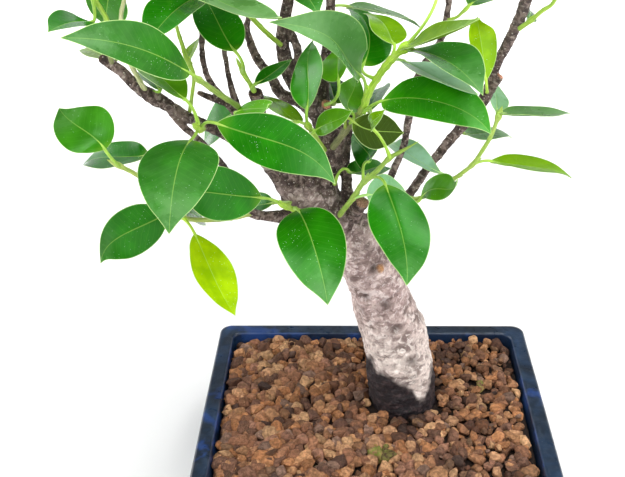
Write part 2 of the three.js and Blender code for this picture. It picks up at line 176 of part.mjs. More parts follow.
  ['crown_04', 'crown_04', [-74.9,33.8,339.6], [-81.7,31.1,349], [-87.1,30.9,359.8], [-93.5,28.7,369.3], [-101.6,23.1,376.6], [0.38,0.78,0.5], 22.3, 8, 'bright'],
  ['crown_04', 'crown_04', [-77.4,39.8,345.4], [-73.4,45.2,350.1], [-69.4,51.4,356.8], [-64.7,57.7,362.8], [-59,64.4,367.6], [-0.64,-0.19,0.74], 17.0, 8, 'olive'],
  ['crown_04', 'crown_04', [-78.5,42.4,347.9], [-82.3,47.7,350.8], [-87.6,56.7,359.1], [-94.2,66.2,364.6], [-103.1,76.4,365.4], [0.44,-0.13,0.89], 24.0, 16, 'olive'],
  ['crown_05', 'crown_05', [-3.8,70.9,346.1], [1.6,75.6,344.1], [9.7,83.2,340.2], [17.7,90.4,335.4], [25.6,96.8,329.2], [0.12,0.47,0.87], 20.1, 10, 'mid'],
  ['crown_05', 'crown_05', [-3.2,76.2,348.3], [-10.7,80.7,348.4], [-22.6,89.5,348], [-34.6,97.1,344.9], [-46.5,102.2,337.2], [0,0.46,0.89], 24.1, 14, 'green'],
  ['crown_05', 'crown_05', [-2.7,79,350.1], [3.7,78,354.5], [15.6,77.2,365.1], [28.1,75.4,374.8], [41.6,71.8,382.7], [-0.38,0.66,0.65], 27.0, 10, 'dark'],
  ['crown_05', 'crown_05', [-2.3,81.1,351.4], [2.7,81.4,359.7], [9,84.4,370.6], [16.6,85.4,380.5], [26.7,82.8,388.4], [-0.52,0.76,0.4], 23.7, 11, 'green'],
  ['crown_05', 'crown_05', [-2,82.7,352.5], [-5.7,85.3,359.3], [-8.5,90.3,371.3], [-13.7,94.7,382.2], [-23.3,98,391.2], [0.89,0.23,0.4], 23.3, 11, 'green'],
  ['crown_05', 'crown_05', [-1.5,85.5,354.5], [6.7,87.9,356.8], [15.5,91.2,360.1], [24.6,93.9,361.6], [34.4,95.7,360.2], [-0.2,0.31,0.93], 15.9, 9, 'green'],
  ['crown_06', 'crown_06', [36.3,17.7,334.9], [40.9,22.9,336.8], [48.9,31.2,340.4], [56.7,39.8,342.7], [64.5,49.1,342.8], [0.05,-0.27,0.96], 19.3, 8, 'mid'],
  ['crown_06', 'crown_06', [36.3,17.4,338.9], [25.8,15,343.9], [12.5,11.6,352.6], [-1.4,8.3,360], [-16.6,5.3,365], [0.46,-0.12,0.88], 26.1, 7, 'green'],
  ['crown_06', 'crown_06', [37.4,16.4,345.5], [46.4,12.3,347.9], [60.5,6,351.1], [74.2,-0.3,350.6], [87.4,-6.4,343.8], [0.09,-0.02,1], 25.4, 13, 'mid'],
  ['crown_06', 'crown_06', [38.2,15.7,350.1], [36.2,22.5,357.9], [34.3,29.9,367.5], [31.9,38.5,375.4], [28.5,49.4,380.2], [0.24,-0.58,0.78], 20.2, 10, 'dark'],
  ['crown_06', 'crown_06', [38.8,15.2,354], [36,6.5,359], [31.9,-5.7,367.9], [27.7,-19,374.6], [23.3,-33.9,377.5], [0.04,0.4,0.91], 26.1, 11, 'dark'],
  ['crown_06', 'crown_06', [39.3,14.7,357], [42.8,23.4,363.6], [46.6,31.7,369.4], [50.3,40.6,373.8], [53.9,50.8,375.7], [0.08,-0.43,0.9], 19.9, 14, 'green'],
  ['crown_06', 'crown_06', [39.7,14.3,359.9], [40.4,9.5,366.2], [41.1,0.7,375.9], [42.3,-9,384.3], [44.5,-20.4,390.5], [-0.32,0.57,0.76], 24.6, 14, 'green'],
  ['crown_07', 'crown_07', [85.8,21.7,333.7], [84.7,16.2,339.9], [83.8,6.9,348.2], [82.1,-3.1,355.3], [79,-14.3,360.1], [0.48,0.42,0.77], 23.2, 16, 'bright'],
  ['crown_07', 'crown_07', [90.9,21.5,337.7], [97.7,25.6,331.8], [108,31.8,326.6], [117.3,37.4,319.6], [124.8,42,309.7], [0.5,0.28,0.82], 23.4, 7, 'bright'],
  ['crown_07', 'crown_07', [94.7,21.2,340], [95.1,25.9,348.7], [96.2,31.5,361.3], [96.7,38.1,373.4], [96.4,46.6,384.5], [0.39,-0.8,0.45], 24.4, 8, 'green'],
  ['crown_07', 'crown_07', [101.3,20.7,344.1], [103.4,11.6,349], [106.6,1.5,359.2], [109.4,-10.2,366.9], [111.4,-24.6,370.4], [0.16,0.53,0.83], 24.4, 8, 'mid'],
  ['crown_07', 'crown_07', [103.3,20.6,345.4], [110,24.1,343.7], [122.9,29.4,343], [134.4,35.1,339.3], [143.5,41.4,330.4], [0.41,-0.1,0.91], 23.8, 10, 'bright'],
  ['crown_07', 'crown_07', [109,20.1,349.3], [110.2,16.8,357.9], [113.6,14,369.3], [115.8,8.9,379.7], [116,-0.2,388.2], [0.42,0.82,0.38], 21.2, 7, 'green'],
  ['crown_07', 'crown_07', [111,20,350.6], [118.9,16.5,352.2], [129.6,12.2,355.8], [140.3,7.6,357], [151,2.4,354.2], [-0.01,0.12,0.99], 20.4, 8, 'bright'],
  ['crown_08', 'crown_08', [99.6,58.1,338.7], [102.6,67.9,335], [107.6,81.5,330], [111.6,94.2,322.9], [113.8,105.2,312.2], [0.42,0.38,0.83], 28.8, 11, 'bright'],
  ['crown_08', 'crown_08', [100.7,60.3,340.1], [95.3,64,345.8], [89.5,69.9,355.9], [81.7,75.6,363.8], [70.3,81.1,367.7], [0.68,0.05,0.73], 20.6, 8, 'dark'],
  ['crown_08', 'crown_08', [101.6,61.9,341.3], [106.5,58.5,347], [115.2,54.6,358.6], [124.4,48.5,368.2], [134.6,38.7,374], [-0.18,0.7,0.69], 27.3, 16, 'olive'],
  ['crown_08', 'crown_08', [102.4,63.3,342.3], [101.9,72.2,339.9], [102.3,85.1,336.5], [101.9,96.7,330.9], [99.9,105.9,321.2], [0.31,0.48,0.82], 21.3, 14, 'green'],
  ['crown_08', 'crown_08', [104,66,344.4], [101.9,63.8,354.5], [100.9,62.9,368.3], [98,59.9,381], [91.5,53.2,391.6], [0.64,0.67,0.37], 24.7, 12, 'green'],
  ['crown_08', 'crown_08', [104.7,67.2,345.5], [109.9,69.4,341.1], [120.2,75.1,335.5], [129.4,79.4,328.1], [136.8,81.4,317.3], [0.42,0.53,0.74], 22.9, 8, 'olive'],
  ['crown_08', 'crown_08', [106,69.3,347.3], [106.5,76.7,350.9], [107.1,85.2,356.5], [107.6,94.4,360.4], [108.2,104.7,361.4], [0.01,-0.35,0.94], 18.0, 15, 'green'],
];

// Colours and surface finish: [colour, roughness]
const FINISH = {
  pot: ['#1d2738', 0.28], mesh: ['#23262a', 0.6], wire: ['#8d6a4a', 0.4], soil: ['#8a5a3c', 0.95],
  bark: ['#83746a', 0.85], shoot: ['#7d9a3a', 0.5], crown: ['#3c7d28', 0.4],
  green: ['#2f7d22', 0.35], dark: ['#1f4d1b', 0.35], haze: ['#4f8058', 0.32], mid: ['#3a7a2c', 0.35],
  bright: ['#579c33', 0.35], lime: ['#9fc31f', 0.4], limeg: ['#86b03a', 0.4], pale: ['#7fa083', 0.4],
  paleblue: ['#b3c6bf', 0.4], blue: ['#7f9c95', 0.35], olive: ['#7d8f2c', 0.4], under: ['#4a6a20', 0.5],
  gloss: ['#5f9450', 0.25],
};

const V = (p) => new THREE.Vector3(p[0], p[1], p[2]);

// A closed solid from vertices and triangles; a body whose faces point inwards is turned round.
function solid(points, tris) {
  const vertProperties = new Float32Array(points.length * 3);
  points.forEach((p, i) => { vertProperties[3 * i] = p.x; vertProperties[3 * i + 1] = p.y; vertProperties[3 * i + 2] = p.z; });
  const order = (flip) => new Uint32Array(tris.flatMap((t) => (flip ? [t[0], t[2], t[1]] : t)));
  let m = new Manifold(new SolidMesh({ numProp: 3, vertProperties, triVerts: order(false) }));
  if (m.volume() < 0) m = new Manifold(new SolidMesh({ numProp: 3, vertProperties, triVerts: order(true) }));
  return m;
}

// Skin over a row of sections that all have the same number of points, closed at both ends.
function loft(rings) {
  const n = rings[0].length;
  const tris = [];
  for (let i = 0; i + 1 < rings.length; i++) {
    for (let j = 0; j < n; j++) {
      const a = i * n + j, b = i * n + ((j + 1) % n), c = a + n, d = b + n;
      tris.push([a, b, d], [a, d, c]);
    }
  }
  const o = (rings.length - 1) * n;
  for (let j = 1; j + 1 < n; j++) { tris.push([0, j + 1, j]); tris.push([o, o + j, o + j + 1]); }
  return solid(rings.flat(), tris);
}

// A round, tapering member through points [x, y, z, radius].
function member(rows, sides, grow = 0) {
  const P = rows.map(V);
  const last = P.length - 1;
  if (grow) {
    P[0].add(P[0].clone().sub(P[1]).setLength(grow));
    P[last].add(P[last].clone().sub(P[last - 1]).setLength(grow));
  }
  const T = P.map((p, i) => P[Math.min(i + 1, P.length - 1)].clone().sub(P[Math.max(i - 1, 0)]).normalize());
  let N = (Math.abs(T[0].z) < 0.9 ? new THREE.Vector3(0, 0, 1) : new THREE.Vector3(1, 0, 0));
  N = T[0].clone().cross(N).normalize();
  const rings = P.map((p, i) => {
    N = N.clone().addScaledVector(T[i], -N.dot(T[i])).normalize();
    const B = T[i].clone().cross(N);
    return Array.from({ length: sides }, (_, j) => {
      const a = (2 * Math.PI * j) / sides, r = rows[i][3] + grow;
      return p.clone().addScaledVector(N, r * Math.cos(a)).addScaledVector(B, r * Math.sin(a));
    });
  });
  return loft(rings);
}

// Half width of a blade along its length, as a share of its largest half width.
function outline(t) {
  const p = Math.log(0.5) / Math.log(WIDEST_AT);
  const w = Math.max(0, Math.sin(Math.PI * Math.max(t, 1e-6) ** p)) ** 0.82;
  let k = Math.min(1, Math.max(0, (t - 0.78) / 0.22));
  k = k * k * (3 - 2 * k);
  return w * (1 - 0.32 * k);
}

// One leaf: a thin stalk that widens into a blade folded along its midrib.
function leaf([, , start, base, c1, c2, tip, normal, width, fold], sections, stalkSteps, from = 0) {
  const P = V(start), B = V(base), C1 = V(c1), C2 = V(c2), T = V(tip), N0 = V(normal);
  const K = B.clone().addScaledVector(C1.clone().sub(B).normalize(), -0.45 * B.distanceTo(P));
  const rings = [];
  const section = (M, dir, half, thick, angle) => {
    const N = N0.clone().addScaledVector(dir, -N0.dot(dir)).normalize();
    const W = dir.clone().cross(N);
    const c = Math.cos(angle) * half, s = Math.sin(angle) * half;
    rings.push([
      M.clone().addScaledVector(W, c).addScaledVector(N, s), M.clone().addScaledVector(N, thick),
      M.clone().addScaledVector(W, -c).addScaledVector(N, s), M.clone().addScaledVector(N, -thick),
    ]);
  };
  for (let i = 0; i < stalkSteps; i++) {
    const q = from + ((1 - from) * i) / stalkSteps;
    const M = P.clone().multiplyScalar((1 - q) ** 2).addScaledVector(K, 2 * q * (1 - q)).addScaledVector(B, q * q);
    const dir = K.clone().sub(P).multiplyScalar(2 * (1 - q)).addScaledVector(B.clone().sub(K), 2 * q).normalize();
    section(M, dir, STALK_RADIUS, STALK_RADIUS, 0);
  }
  const rad = (fold * Math.PI) / 180;
  for (const t of sections) {
    const u = 1 - t;
    const M = B.clone().multiplyScalar(u ** 3).addScaledVector(C1, 3 * u * u * t).addScaledVector(C2, 3 * u * t * t).addScaledVector(T, t ** 3);
    const dir = C1.clone().sub(B).multiplyScalar(3 * u * u).addScaledVector(C2.clone().sub(C1), 6 * u * t)
      .addScaledVector(T.clone().sub(C2), 3 * t * t).normalize();
    const half = Math.max((outline(t) * width) / 2, t < 0.5 ? STALK_RADIUS : 0.35);
    section(M, dir, half, t > 0.03 ? (LEAF_THICKNESS * (1 - 0.5 * t)) / 2 : STALK_RADIUS * 0.9, rad * Math.min(1, t / 0.15));
  }
  return loft(rings);
}

// Rounded rectangle at one level.
function roundRect(hx, hy, r, z, steps = 4) {
  const out = [];
  [[1, 1, 0], [-1, 1, 90], [-1, -1, 180], [1, -1, 270]].forEach(([sx, sy, a0]) => {
    for (let i = 0; i <= steps; i++) {
      const a = ((a0 + (90 * i) / steps) * Math.PI) / 180;
      out.push(new THREE.Vector3(sx * (hx - r) + r * Math.cos(a), sy * (hy - r) + r * Math.sin(a), z));
    }
  });
  return out;
}
// The same outline with its points at even steps round the edge.
function evenRect(hx, hy, r, z, n) {
  const ring = roundRect(hx, hy, r, z, 8);
  const cum = [0];
  ring.forEach((p, i) => cum.push(cum[i] + p.distanceTo(ring[(i + 1) % ring.length])));
  return Array.from({ length: n }, (_, k) => {
    const s = (cum[ring.length] * (k + 0.25)) / n;
    const i = cum.findIndex((c, j) => c <= s && cum[j + 1] > s);
    return ring[i].clone().lerp(ring[(i + 1) % ring.length], (s - cum[i]) / (cum[i + 1] - cum[i]));
  });
}
function block(x0, x1, y0, y1, z0, z1) {
  const c = (z) => [[x0, y0], [x1, y0], [x1, y1], [x0, y1]].map(([x, y]) => new THREE.Vector3(x, y, z));
  return loft([c(z0), c(z1)]);
}
function disc(x, y, r, z0, z1, n = 24) {
  const c = (z) => Array.from({ length: n }, (_, i) => new THREE.Vector3(x + r * Math.cos((2 * Math.PI * i) / n), y + r * Math.sin((2 * Math.PI * i) / n), z));
  return loft([c(z0), c(z1)]);
}
const joinAll = (list) => list.reduce((a, b) => a.add(b));
// The largest separate body of a solid, so that a shaving cut off at a joint is not kept.
const largest = (m) => m.decompose().sort((a, b) => b.volume() - a.volume())[0];

// How far along its stalk a leaf starts, so that it stays clear of the member that carries it.
function stalkStart([, , start, base, c1], lines) {
  const P = V(start), B = V(base), C1 = V(c1);
  const K = B.clone().addScaledVector(C1.clone().sub(B).normalize(), -0.45 * B.distanceTo(P));
  for (let q = 0; q < 0.9; q += 0.02) {
    const M = P.clone().multiplyScalar((1 - q) ** 2).addScaledVector(K, 2 * q * (1 - q)).addScaledVector(B, q * q);
    const clear = lines.every((rows) => rows.slice(1).every((b, i) => {
      const a = V(rows[i]), ab = V(b).sub(a);
      const t = Math.min(1, Math.max(0, M.clone().sub(a).dot(ab) / ab.lengthSq()));
      const r = rows[i][3] + (b[3] - rows[i][3]) * t;
      return M.distanceTo(a.addScaledVector(ab, t)) > r + GAP + STALK_RADIUS * 1.15;
    }));
    if (clear) return q;
  }
  return 0.9;
}

const group = new THREE.Group();
group.name = 'potted_fig_bonsai';
function addPiece(name, m, [colour, roughness], metalness = 0) {
  const { vertProperties, triVerts, numProp } = largest(m.simplify(SLIVER)).getMesh();
  const position = new Float32Array((vertProperties.length / numProp) * 3);
  for (let i = 0; i < position.length / 3; i++) for (let k = 0; k < 3; k++) position[3 * i + k] = vertProperties[numProp * i + k];
  const g = new THREE.BufferGeometry();
  g.setAttribute('position', new THREE.BufferAttribute(position, 3));
  g.setIndex(new THREE.BufferAttribute(new Uint32Array(triVerts), 1));
  g.computeVertexNormals();
  const mesh = new THREE.Mesh(g, new THREE.MeshStandardMaterial({ color: colour, roughness, metalness }));
  mesh.name = name;
  group.add(mesh);
}

// Pot: leaning walls, an overhanging lip, four feet and two drain holes.
const HX = POT_LENGTH / 2, HY = POT_WIDTH / 2, FLOOR = FOOT_HEIGHT + FLOOR_THICKNESS;
const lipLow = POT_HEIGHT - LIP_HEIGHT;
const wallTop = [HX - LIP_OVERHANG, HY - LIP_OVERHANG];
const innerTop = [HX - LIP_WIDTH, HY - LIP_WIDTH];
const innerLow = [innerTop[0] - WALL_TAPER + 1, innerTop[1] - WALL_TAPER + 1];
const innerAt = (z) => [0, 1].map((k) => innerLow[k] + ((innerTop[k] - innerLow[k]) * (z - FLOOR)) / (POT_HEIGHT - FLOOR));
let pot = loft([
  roundRect(wallTop[0] - WALL_TAPER - 1, wallTop[1] - WALL_TAPER - 1, CORNER_RADIUS - 1, FOOT_HEIGHT),
  roundRect(wallTop[0] - WALL_TAPER + 1, wallTop[1] - WALL_TAPER + 1, CORNER_RADIUS, FOOT_HEIGHT + 2.5),
  roundRect(wallTop[0] - WALL_TAPER * 0.36, wallTop[1] - WALL_TAPER * 0.36, CORNER_RADIUS, 34),
  roundRect(wallTop[0], wallTop[1], CORNER_RADIUS, lipLow - 1),
  roundRect(HX - 1, HY - 1, CORNER_RADIUS, lipLow),
  roundRect(HX, HY, CORNER_RADIUS, lipLow + 1.2),
  roundRect(HX, HY, CORNER_RADIUS, POT_HEIGHT - 1.4),
  roundRect(HX - 0.5, HY - 0.5, CORNER_RADIUS, POT_HEIGHT - 0.4),
  roundRect(HX - 1.4, HY - 1.4, CORNER_RADIUS - 1, POT_HEIGHT),
]);
const over = innerAt(POT_HEIGHT + 4);
pot = pot.subtract(loft([
  roundRect(innerLow[0] - 1.5, innerLow[1] - 1.5, 8, FLOOR),
  roundRect(...innerAt(FLOOR + 2), 9, FLOOR + 2),
  roundRect(...innerAt(POT_HEIGHT - 1), 9, POT_HEIGHT - 1),
  roundRect(over[0] + 2, over[1] + 2, 9, POT_HEIGHT + 1.5),
]));
for (const sx of [-1, 1]) {
  for (const sy of [-1, 1]) {
    const foot = [[12, 8, 0], [14.5, 10.5, 1.2], [15.5, 11.5, FOOT_HEIGHT + 1.5]].map(([a, b, z]) =>
      roundRect(a, b, 5, z, 3).map((p) => p.add(new THREE.Vector3(sx * 72, sy * 50, 0))));
    pot = pot.add(loft(foot));
  }
  pot = pot.subtract(disc((sx * DRAIN_SPACING) / 2, 0, DRAIN_RADIUS, FOOT_HEIGHT - 2, FLOOR + 2));
}
addPiece('pot', pot, FINISH.pot);

// Drainage mesh over each hole and the wire staple that holds it down.
const meshZ = FLOOR + GAP, meshTop = meshZ + 1.4, wireZ = meshTop + GAP + WIRE_RADIUS + 0.1;
const meshHalf = ((MESH_BARS - 1) / 2) * MESH_PITCH + MESH_BAR / 2;
for (const [side, sx] of [['left', -1], ['right', 1]]) {
  const x0 = (sx * DRAIN_SPACING) / 2;
  const bars = [];
  for (let i = 0; i < MESH_BARS; i++) {
    const o = (i - (MESH_BARS - 1) / 2) * MESH_PITCH;
    bars.push(block(x0 + o - MESH_BAR / 2, x0 + o + MESH_BAR / 2, -meshHalf, meshHalf, meshZ, meshTop - 0.4));
    bars.push(block(x0 - meshHalf, x0 + meshHalf, o - MESH_BAR / 2, o + MESH_BAR / 2, meshZ + 0.4, meshTop));
  }
  addPiece(`drainage_mesh_${side}`, joinAll(bars), FINISH.mesh);
  const low = FOOT_HEIGHT - GAP - WIRE_RADIUS - 0.1;
  const path = [[-16, low], [-10.9, low], [-9.7, low + 1.3], [-9.7, wireZ - 1.2], [-8.5, wireZ], [8.5, wireZ], [9.7, wireZ - 1.2], [9.7, low + 1.3], [10.9, low], [16, low]];
  addPiece(`mesh_clip_wire_${side}`, member(path.map(([x, z]) => [x0 + x, MESH_PITCH / 2, z, WIRE_RADIUS]), 6), FINISH.wire, 0.8);
}

// Trunk and limbs: one grown body, with root flare below the soil.
const trunk = joinAll(WOOD.map(([, sides, rows]) => member(rows, sides)));
const woodRoom = joinAll(WOOD.map(([, sides, rows]) => member(rows, sides, GAP)));

// Soil: fills the pot up to below the lip, slightly mounded, with a grainy top.
const rand = (() => { let s = 20177; return () => { s = (s * 16807) % 2147483647; return s / 2147483647; }; })();
const soilRings = [];
const SOIL_POINTS = 40;
const soilAt = (z, inset) => { const [a, b] = innerAt(z); return evenRect(a - GAP - inset, b - GAP - inset, 10.5, z, SOIL_POINTS); };
soilRings.push(evenRect(innerLow[0] - 1.5 - GAP - 0.3, innerLow[1] - 1.5 - GAP - 0.3, 10, FLOOR + GAP, SOIL_POINTS));
soilRings.push(soilAt(FLOOR + 3, 0.1), soilAt(36, 0), soilAt(SOIL_EDGE - 1.2, 0));
const [sx, sy] = innerAt(SOIL_EDGE);
for (const f of [0.965, 0.87, 0.76, 0.64, 0.50, 0.35, 0.20, 0.07]) {
  soilRings.push(evenRect(sx * f - GAP, sy * f - GAP, 10.5 * f, 0, SOIL_POINTS).map((p) => {
    p.z = SOIL_EDGE + SOIL_CROWN * (1 - f * f) + (rand() - 0.5) * 2 * GRAIN_RELIEF;
    return p;
  }));
}
let soil = loft(soilRings).subtract(woodRoom);
for (const side of [-1, 1]) {
  const x0 = (side * DRAIN_SPACING) / 2, h = meshHalf + GAP;
  soil = soil.subtract(block(x0 - h, x0 + h, -h, h, FLOOR - 2, meshTop + GAP));
  soil = soil.subtract(block(x0 - 11, x0 + 11, MESH_PITCH / 2 - 1.3, MESH_PITCH / 2 + 1.3, FLOOR - 1, wireZ + WIRE_RADIUS + GAP));
}
addPiece('soil_bed', largest(soil), FINISH.soil);
addPiece('trunk_and_limbs', largest(trunk), FINISH.bark);

// Shoots, each with the small leaves that stay on it, then the single leaves beside them.
const isCrown = (n) => n.startsWith('crown');
for (const [name, rows] of SHOOTS) {
  let m = member(rows, SHOOT_SIDES);
  for (const L of LEAVES) if (L[0] === name) m = m.add(leaf(L, isCrown(name) ? CROWN_SECTIONS : SMALL_SECTIONS, isCrown(name) ? 1 : 2));
  addPiece(name, largest(m.subtract(woodRoom)), isCrown(name) ? FINISH.crown : FINISH.shoot);
}
for (const L of LEAVES) {
  if (!L[0].startsWith('leaf')) continue;
  const near = SHOOTS.filter(([n]) => n === L[1]).map(([, rows]) => rows).concat(WOOD.map(([, , rows]) => rows));
  addPiece(L[0], leaf(L, FULL_SECTIONS, 2, stalkStart(L, near)), FINISH[L[10]]);
}

export default group;
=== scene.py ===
import bpy, math
import numpy as np
from mathutils import Vector, Matrix, noise


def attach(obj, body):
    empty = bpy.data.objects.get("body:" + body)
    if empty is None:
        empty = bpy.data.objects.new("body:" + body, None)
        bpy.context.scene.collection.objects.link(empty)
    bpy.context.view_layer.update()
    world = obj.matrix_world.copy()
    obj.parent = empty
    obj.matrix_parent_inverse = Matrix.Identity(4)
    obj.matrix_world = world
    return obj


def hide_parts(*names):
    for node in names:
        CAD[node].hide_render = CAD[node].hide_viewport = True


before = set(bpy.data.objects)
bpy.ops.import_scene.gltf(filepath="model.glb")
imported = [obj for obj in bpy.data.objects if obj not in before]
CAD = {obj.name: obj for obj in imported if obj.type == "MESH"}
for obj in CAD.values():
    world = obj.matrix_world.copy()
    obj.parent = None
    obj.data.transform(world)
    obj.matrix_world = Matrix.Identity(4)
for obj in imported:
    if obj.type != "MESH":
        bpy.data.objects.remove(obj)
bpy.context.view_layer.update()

MM = 0.001
rng = np.random.RandomState(7)


# ---------------------------------------------------------------- camera, floor and light
def make_camera():
    ya, pi_, ro = map(math.radians, (2.887, 30.164, -1.542))
    f = Vector((-math.sin(ya) * math.cos(pi_), math.cos(ya) * math.cos(pi_), -math.sin(pi_)))
    r0 = Vector((math.cos(ya), math.sin(ya), 0))
    u0 = r0.cross(f)
    r = math.cos(ro) * r0 + math.sin(ro) * u0
    u = -math.sin(ro) * r0 + math.cos(ro) * u0
    cam = bpy.data.cameras.new("camera")
    cam.sensor_width, cam.lens = 36, 51.84
    cam.clip_start, cam.clip_end = 0.02, 60
    ob = bpy.data.objects.new("camera", cam)
    bpy.context.scene.collection.objects.link(ob)
    m = Matrix((r, u, -f)).transposed().to_4x4()
    m.translation = Vector((-13.12, -432.91, 434.79)) * MM
    ob.matrix_world = m
    bpy.context.scene.camera = ob


def area_light(name, at, aim, size, power, spread=180.0, colour=(1, 1, 1)):
    l = bpy.data.lights.new(name, "AREA")
    l.shape, l.size, l.size_y, l.energy, l.color = "RECTANGLE", size[0], size[1], power, colour
    l.spread = math.radians(spread)
    ob = bpy.data.objects.new(name, l)
    bpy.context.scene.collection.objects.link(ob)
    ob.location = at
    ob.rotation_mode = "QUATERNION"
    ob.rotation_quaternion = (Vector(aim) - Vector(at)).to_track_quat("-Z", "Y")


# ---------------------------------------------------------------- node materials
class Mat:
    """A node material written as short expressions. A number or colour sets a socket, a socket is linked."""

    def __init__(self, name):
        self.m = bpy.data.materials.new(name)
        self.m.use_nodes = True
        self.t = self.m.node_tree
        self.t.nodes.clear()

    def put(self, sock, v):
        if v is None:
            return
        if isinstance(v, bpy.types.NodeSocket):
            self.t.links.new(v, sock)
        elif isinstance(v, (tuple, list)):
            n = len(sock.default_value)
            sock.default_value = (tuple(v) + (1.0,))[:n] if n == 4 else tuple(v)[:n]
        else:
            sock.default_value = v

    def node(self, kind, **kw):
        n = self.t.nodes.new(kind)
        for k, v in kw.items():
            setattr(n, k, v)
        return n

    def attr(self, name):
        return self.node("ShaderNodeAttribute", attribute_name=name)

    def math(self, op, a, b=None, c=None, clamp=False):
        n = self.node("ShaderNodeMath", operation=op, use_clamp=clamp)
        for i, v in enumerate((a, b, c)):
            self.put(n.inputs[i], v)
        return n.outputs[0]

    def vmath(self, op, a, b=None, scale=None):
        n = self.node("ShaderNodeVectorMath", operation=op)
        self.put(n.inputs[0], a)
        if b is not None:
            self.put(n.inputs[1], b)
        if scale is not None:
            self.put(n.inputs["Scale"], scale)
        return n.outputs["Value"] if op in ("LENGTH", "DOT_PRODUCT", "DISTANCE") else n.outputs[0]

    def split(self, v):
        n = self.node("ShaderNodeSeparateXYZ")
        self.put(n.inputs[0], v)
        return n.outputs

    def join(self, x, y, z):
        n = self.node("ShaderNodeCombineXYZ")
        for s, v in zip(n.inputs, (x, y, z)):
            self.put(s, v)
        return n.outputs[0]

    def mix(self, fac, a, b, blend="MIX"):
        n = self.node("ShaderNodeMix", data_type="RGBA", blend_type=blend)
        self.put(n.inputs[0], fac)
        self.put(n.inputs[6], a)
        self.put(n.inputs[7], b)
        return n.outputs[2]

    def step(self, v, lo, hi, a=0.0, b=1.0):
        n = self.node("ShaderNodeMapRange", interpolation_type="SMOOTHSTEP")
        for s, x in zip(n.inputs, (v, lo, hi, a, b)):
            self.put(s, x)
        return n.outputs[0]

    def noise(self, vec, scale, detail=3.0, rough=0.55, dist=0.0, out="Fac"):
        n = self.node("ShaderNodeTexNoise")
        self.put(n.inputs["Vector"], vec)
        for k, v in (("Scale", scale), ("Detail", detail), ("Roughness", rough), ("Distortion", dist)):
            self.put(n.inputs[k], v)
        return n.outputs[out]

    def cells(self, vec, scale, feature="F1", rand=1.0, out="Distance"):
        n = self.node("ShaderNodeTexVoronoi", feature=feature)
        self.put(n.inputs["Vector"], vec)
        self.put(n.inputs["Scale"], scale)
        self.put(n.inputs["Randomness"], rand)
        return n.outputs[out]

    def ramp(self, fac, stops):
        n = self.node("ShaderNodeValToRGB")
        e = n.color_ramp.elements
        while len(e) < len(stops):
            e.new(0.5)
        for el, (p, c) in zip(e, stops):
            el.position, el.color = p, (tuple(c) + (1.0,))[:4]
        self.put(n.inputs[0], fac)
        return n.outputs[0]

    def bump(self, height, strength, dist, normal=None):
        n = self.node("ShaderNodeBump")
        self.put(n.inputs["Height"], height)
        n.inputs["Strength"].default_value = strength
        n.inputs["Distance"].default_value = dist
        if normal is not None:
            self.put(n.inputs["Normal"], normal)
        return n.outputs[0]

    def place(self):
        return self.node("ShaderNodeTexCoord").outputs["Object"]

    def done(self, colour, rough, normal=None, **kw):
        b = self.node("ShaderNodeBsdfPrincipled")
        self.put(b.inputs["Base Color"], colour)
        self.put(b.inputs["Roughness"], rough)
        self.put(b.inputs["Normal"], normal)
        for k, v in kw.items():
            self.put(b.inputs[k.replace("_", " ")], v)
        o = self.node("ShaderNodeOutputMaterial")
        self.t.links.new(b.outputs[0], o.inputs[0])
        return self.m


def srgb(h):
    h = h.lstrip("#")
    c = [int(h[i:i + 2], 16) / 255 for i in (0, 2, 4)]
    return tuple(x / 12.92 if x <= 0.04045 else ((x + 0.055) / 1.055) ** 2.4 for x in c)


# ---------------------------------------------------------------- mesh building
class Skin:
    """Closed shells with their attributes, gathered before one mesh is made."""

    def __init__(self):
        self.v, self.f, self.mi, self.n = [], [], [], 0
        self.tone, self.lf, self.uvw = [], [], []

    def add(self, V, F, mat=0, tone=(1, 1, 1, 0), lf=None, uvw=None):
        V = np.asarray(V, float)
        k, n = len(V), self.n
        self.v.append(V * MM)
        self.f += [tuple(i + n for i in f) for f in F]
        self.mi += list(mat) if hasattr(mat, "__len__") else [mat] * len(F)
        tone = np.asarray(tone, float)
        self.tone.append(np.tile(tone, (k, 1)) if tone.ndim == 1 else tone)
        self.lf.append(np.zeros((k, 3)) if lf is None else np.asarray(lf, float))
        self.uvw.append(V if uvw is None else np.asarray(uvw, float))
        self.n += k

    def make(self, name, mats, sharp=50, smooth=True):
        me = bpy.data.meshes.new(name)
        me.from_pydata(np.vstack(self.v).tolist(), [], self.f)
        me.polygons.foreach_set("material_index", self.mi)
        me.polygons.foreach_set("use_smooth", [smooth] * len(self.f))
        for m in mats:
            me.materials.append(m)
        for key, kind, field, data in (("tone", "FLOAT_COLOR", "color", self.tone), ("lf", "FLOAT_VECTOR", "vector", self.lf), ("uvw", "FLOAT_VECTOR", "vector", self.uvw)):
            me.attributes.new(key, kind, "POINT").data.foreach_set(field, np.vstack(data).astype(np.float32).ravel())
        me.update()
        if smooth and sharp:
            me.set_sharp_from_angle(angle=math.radians(sharp))
        ob = bpy.data.objects.new(name, me)
        bpy.context.scene.collection.objects.link(ob)
        return ob


def unit(a):
    a = np.asarray(a, float)
    return a / np.maximum(np.linalg.norm(a, axis=-1, keepdims=True), 1e-12)


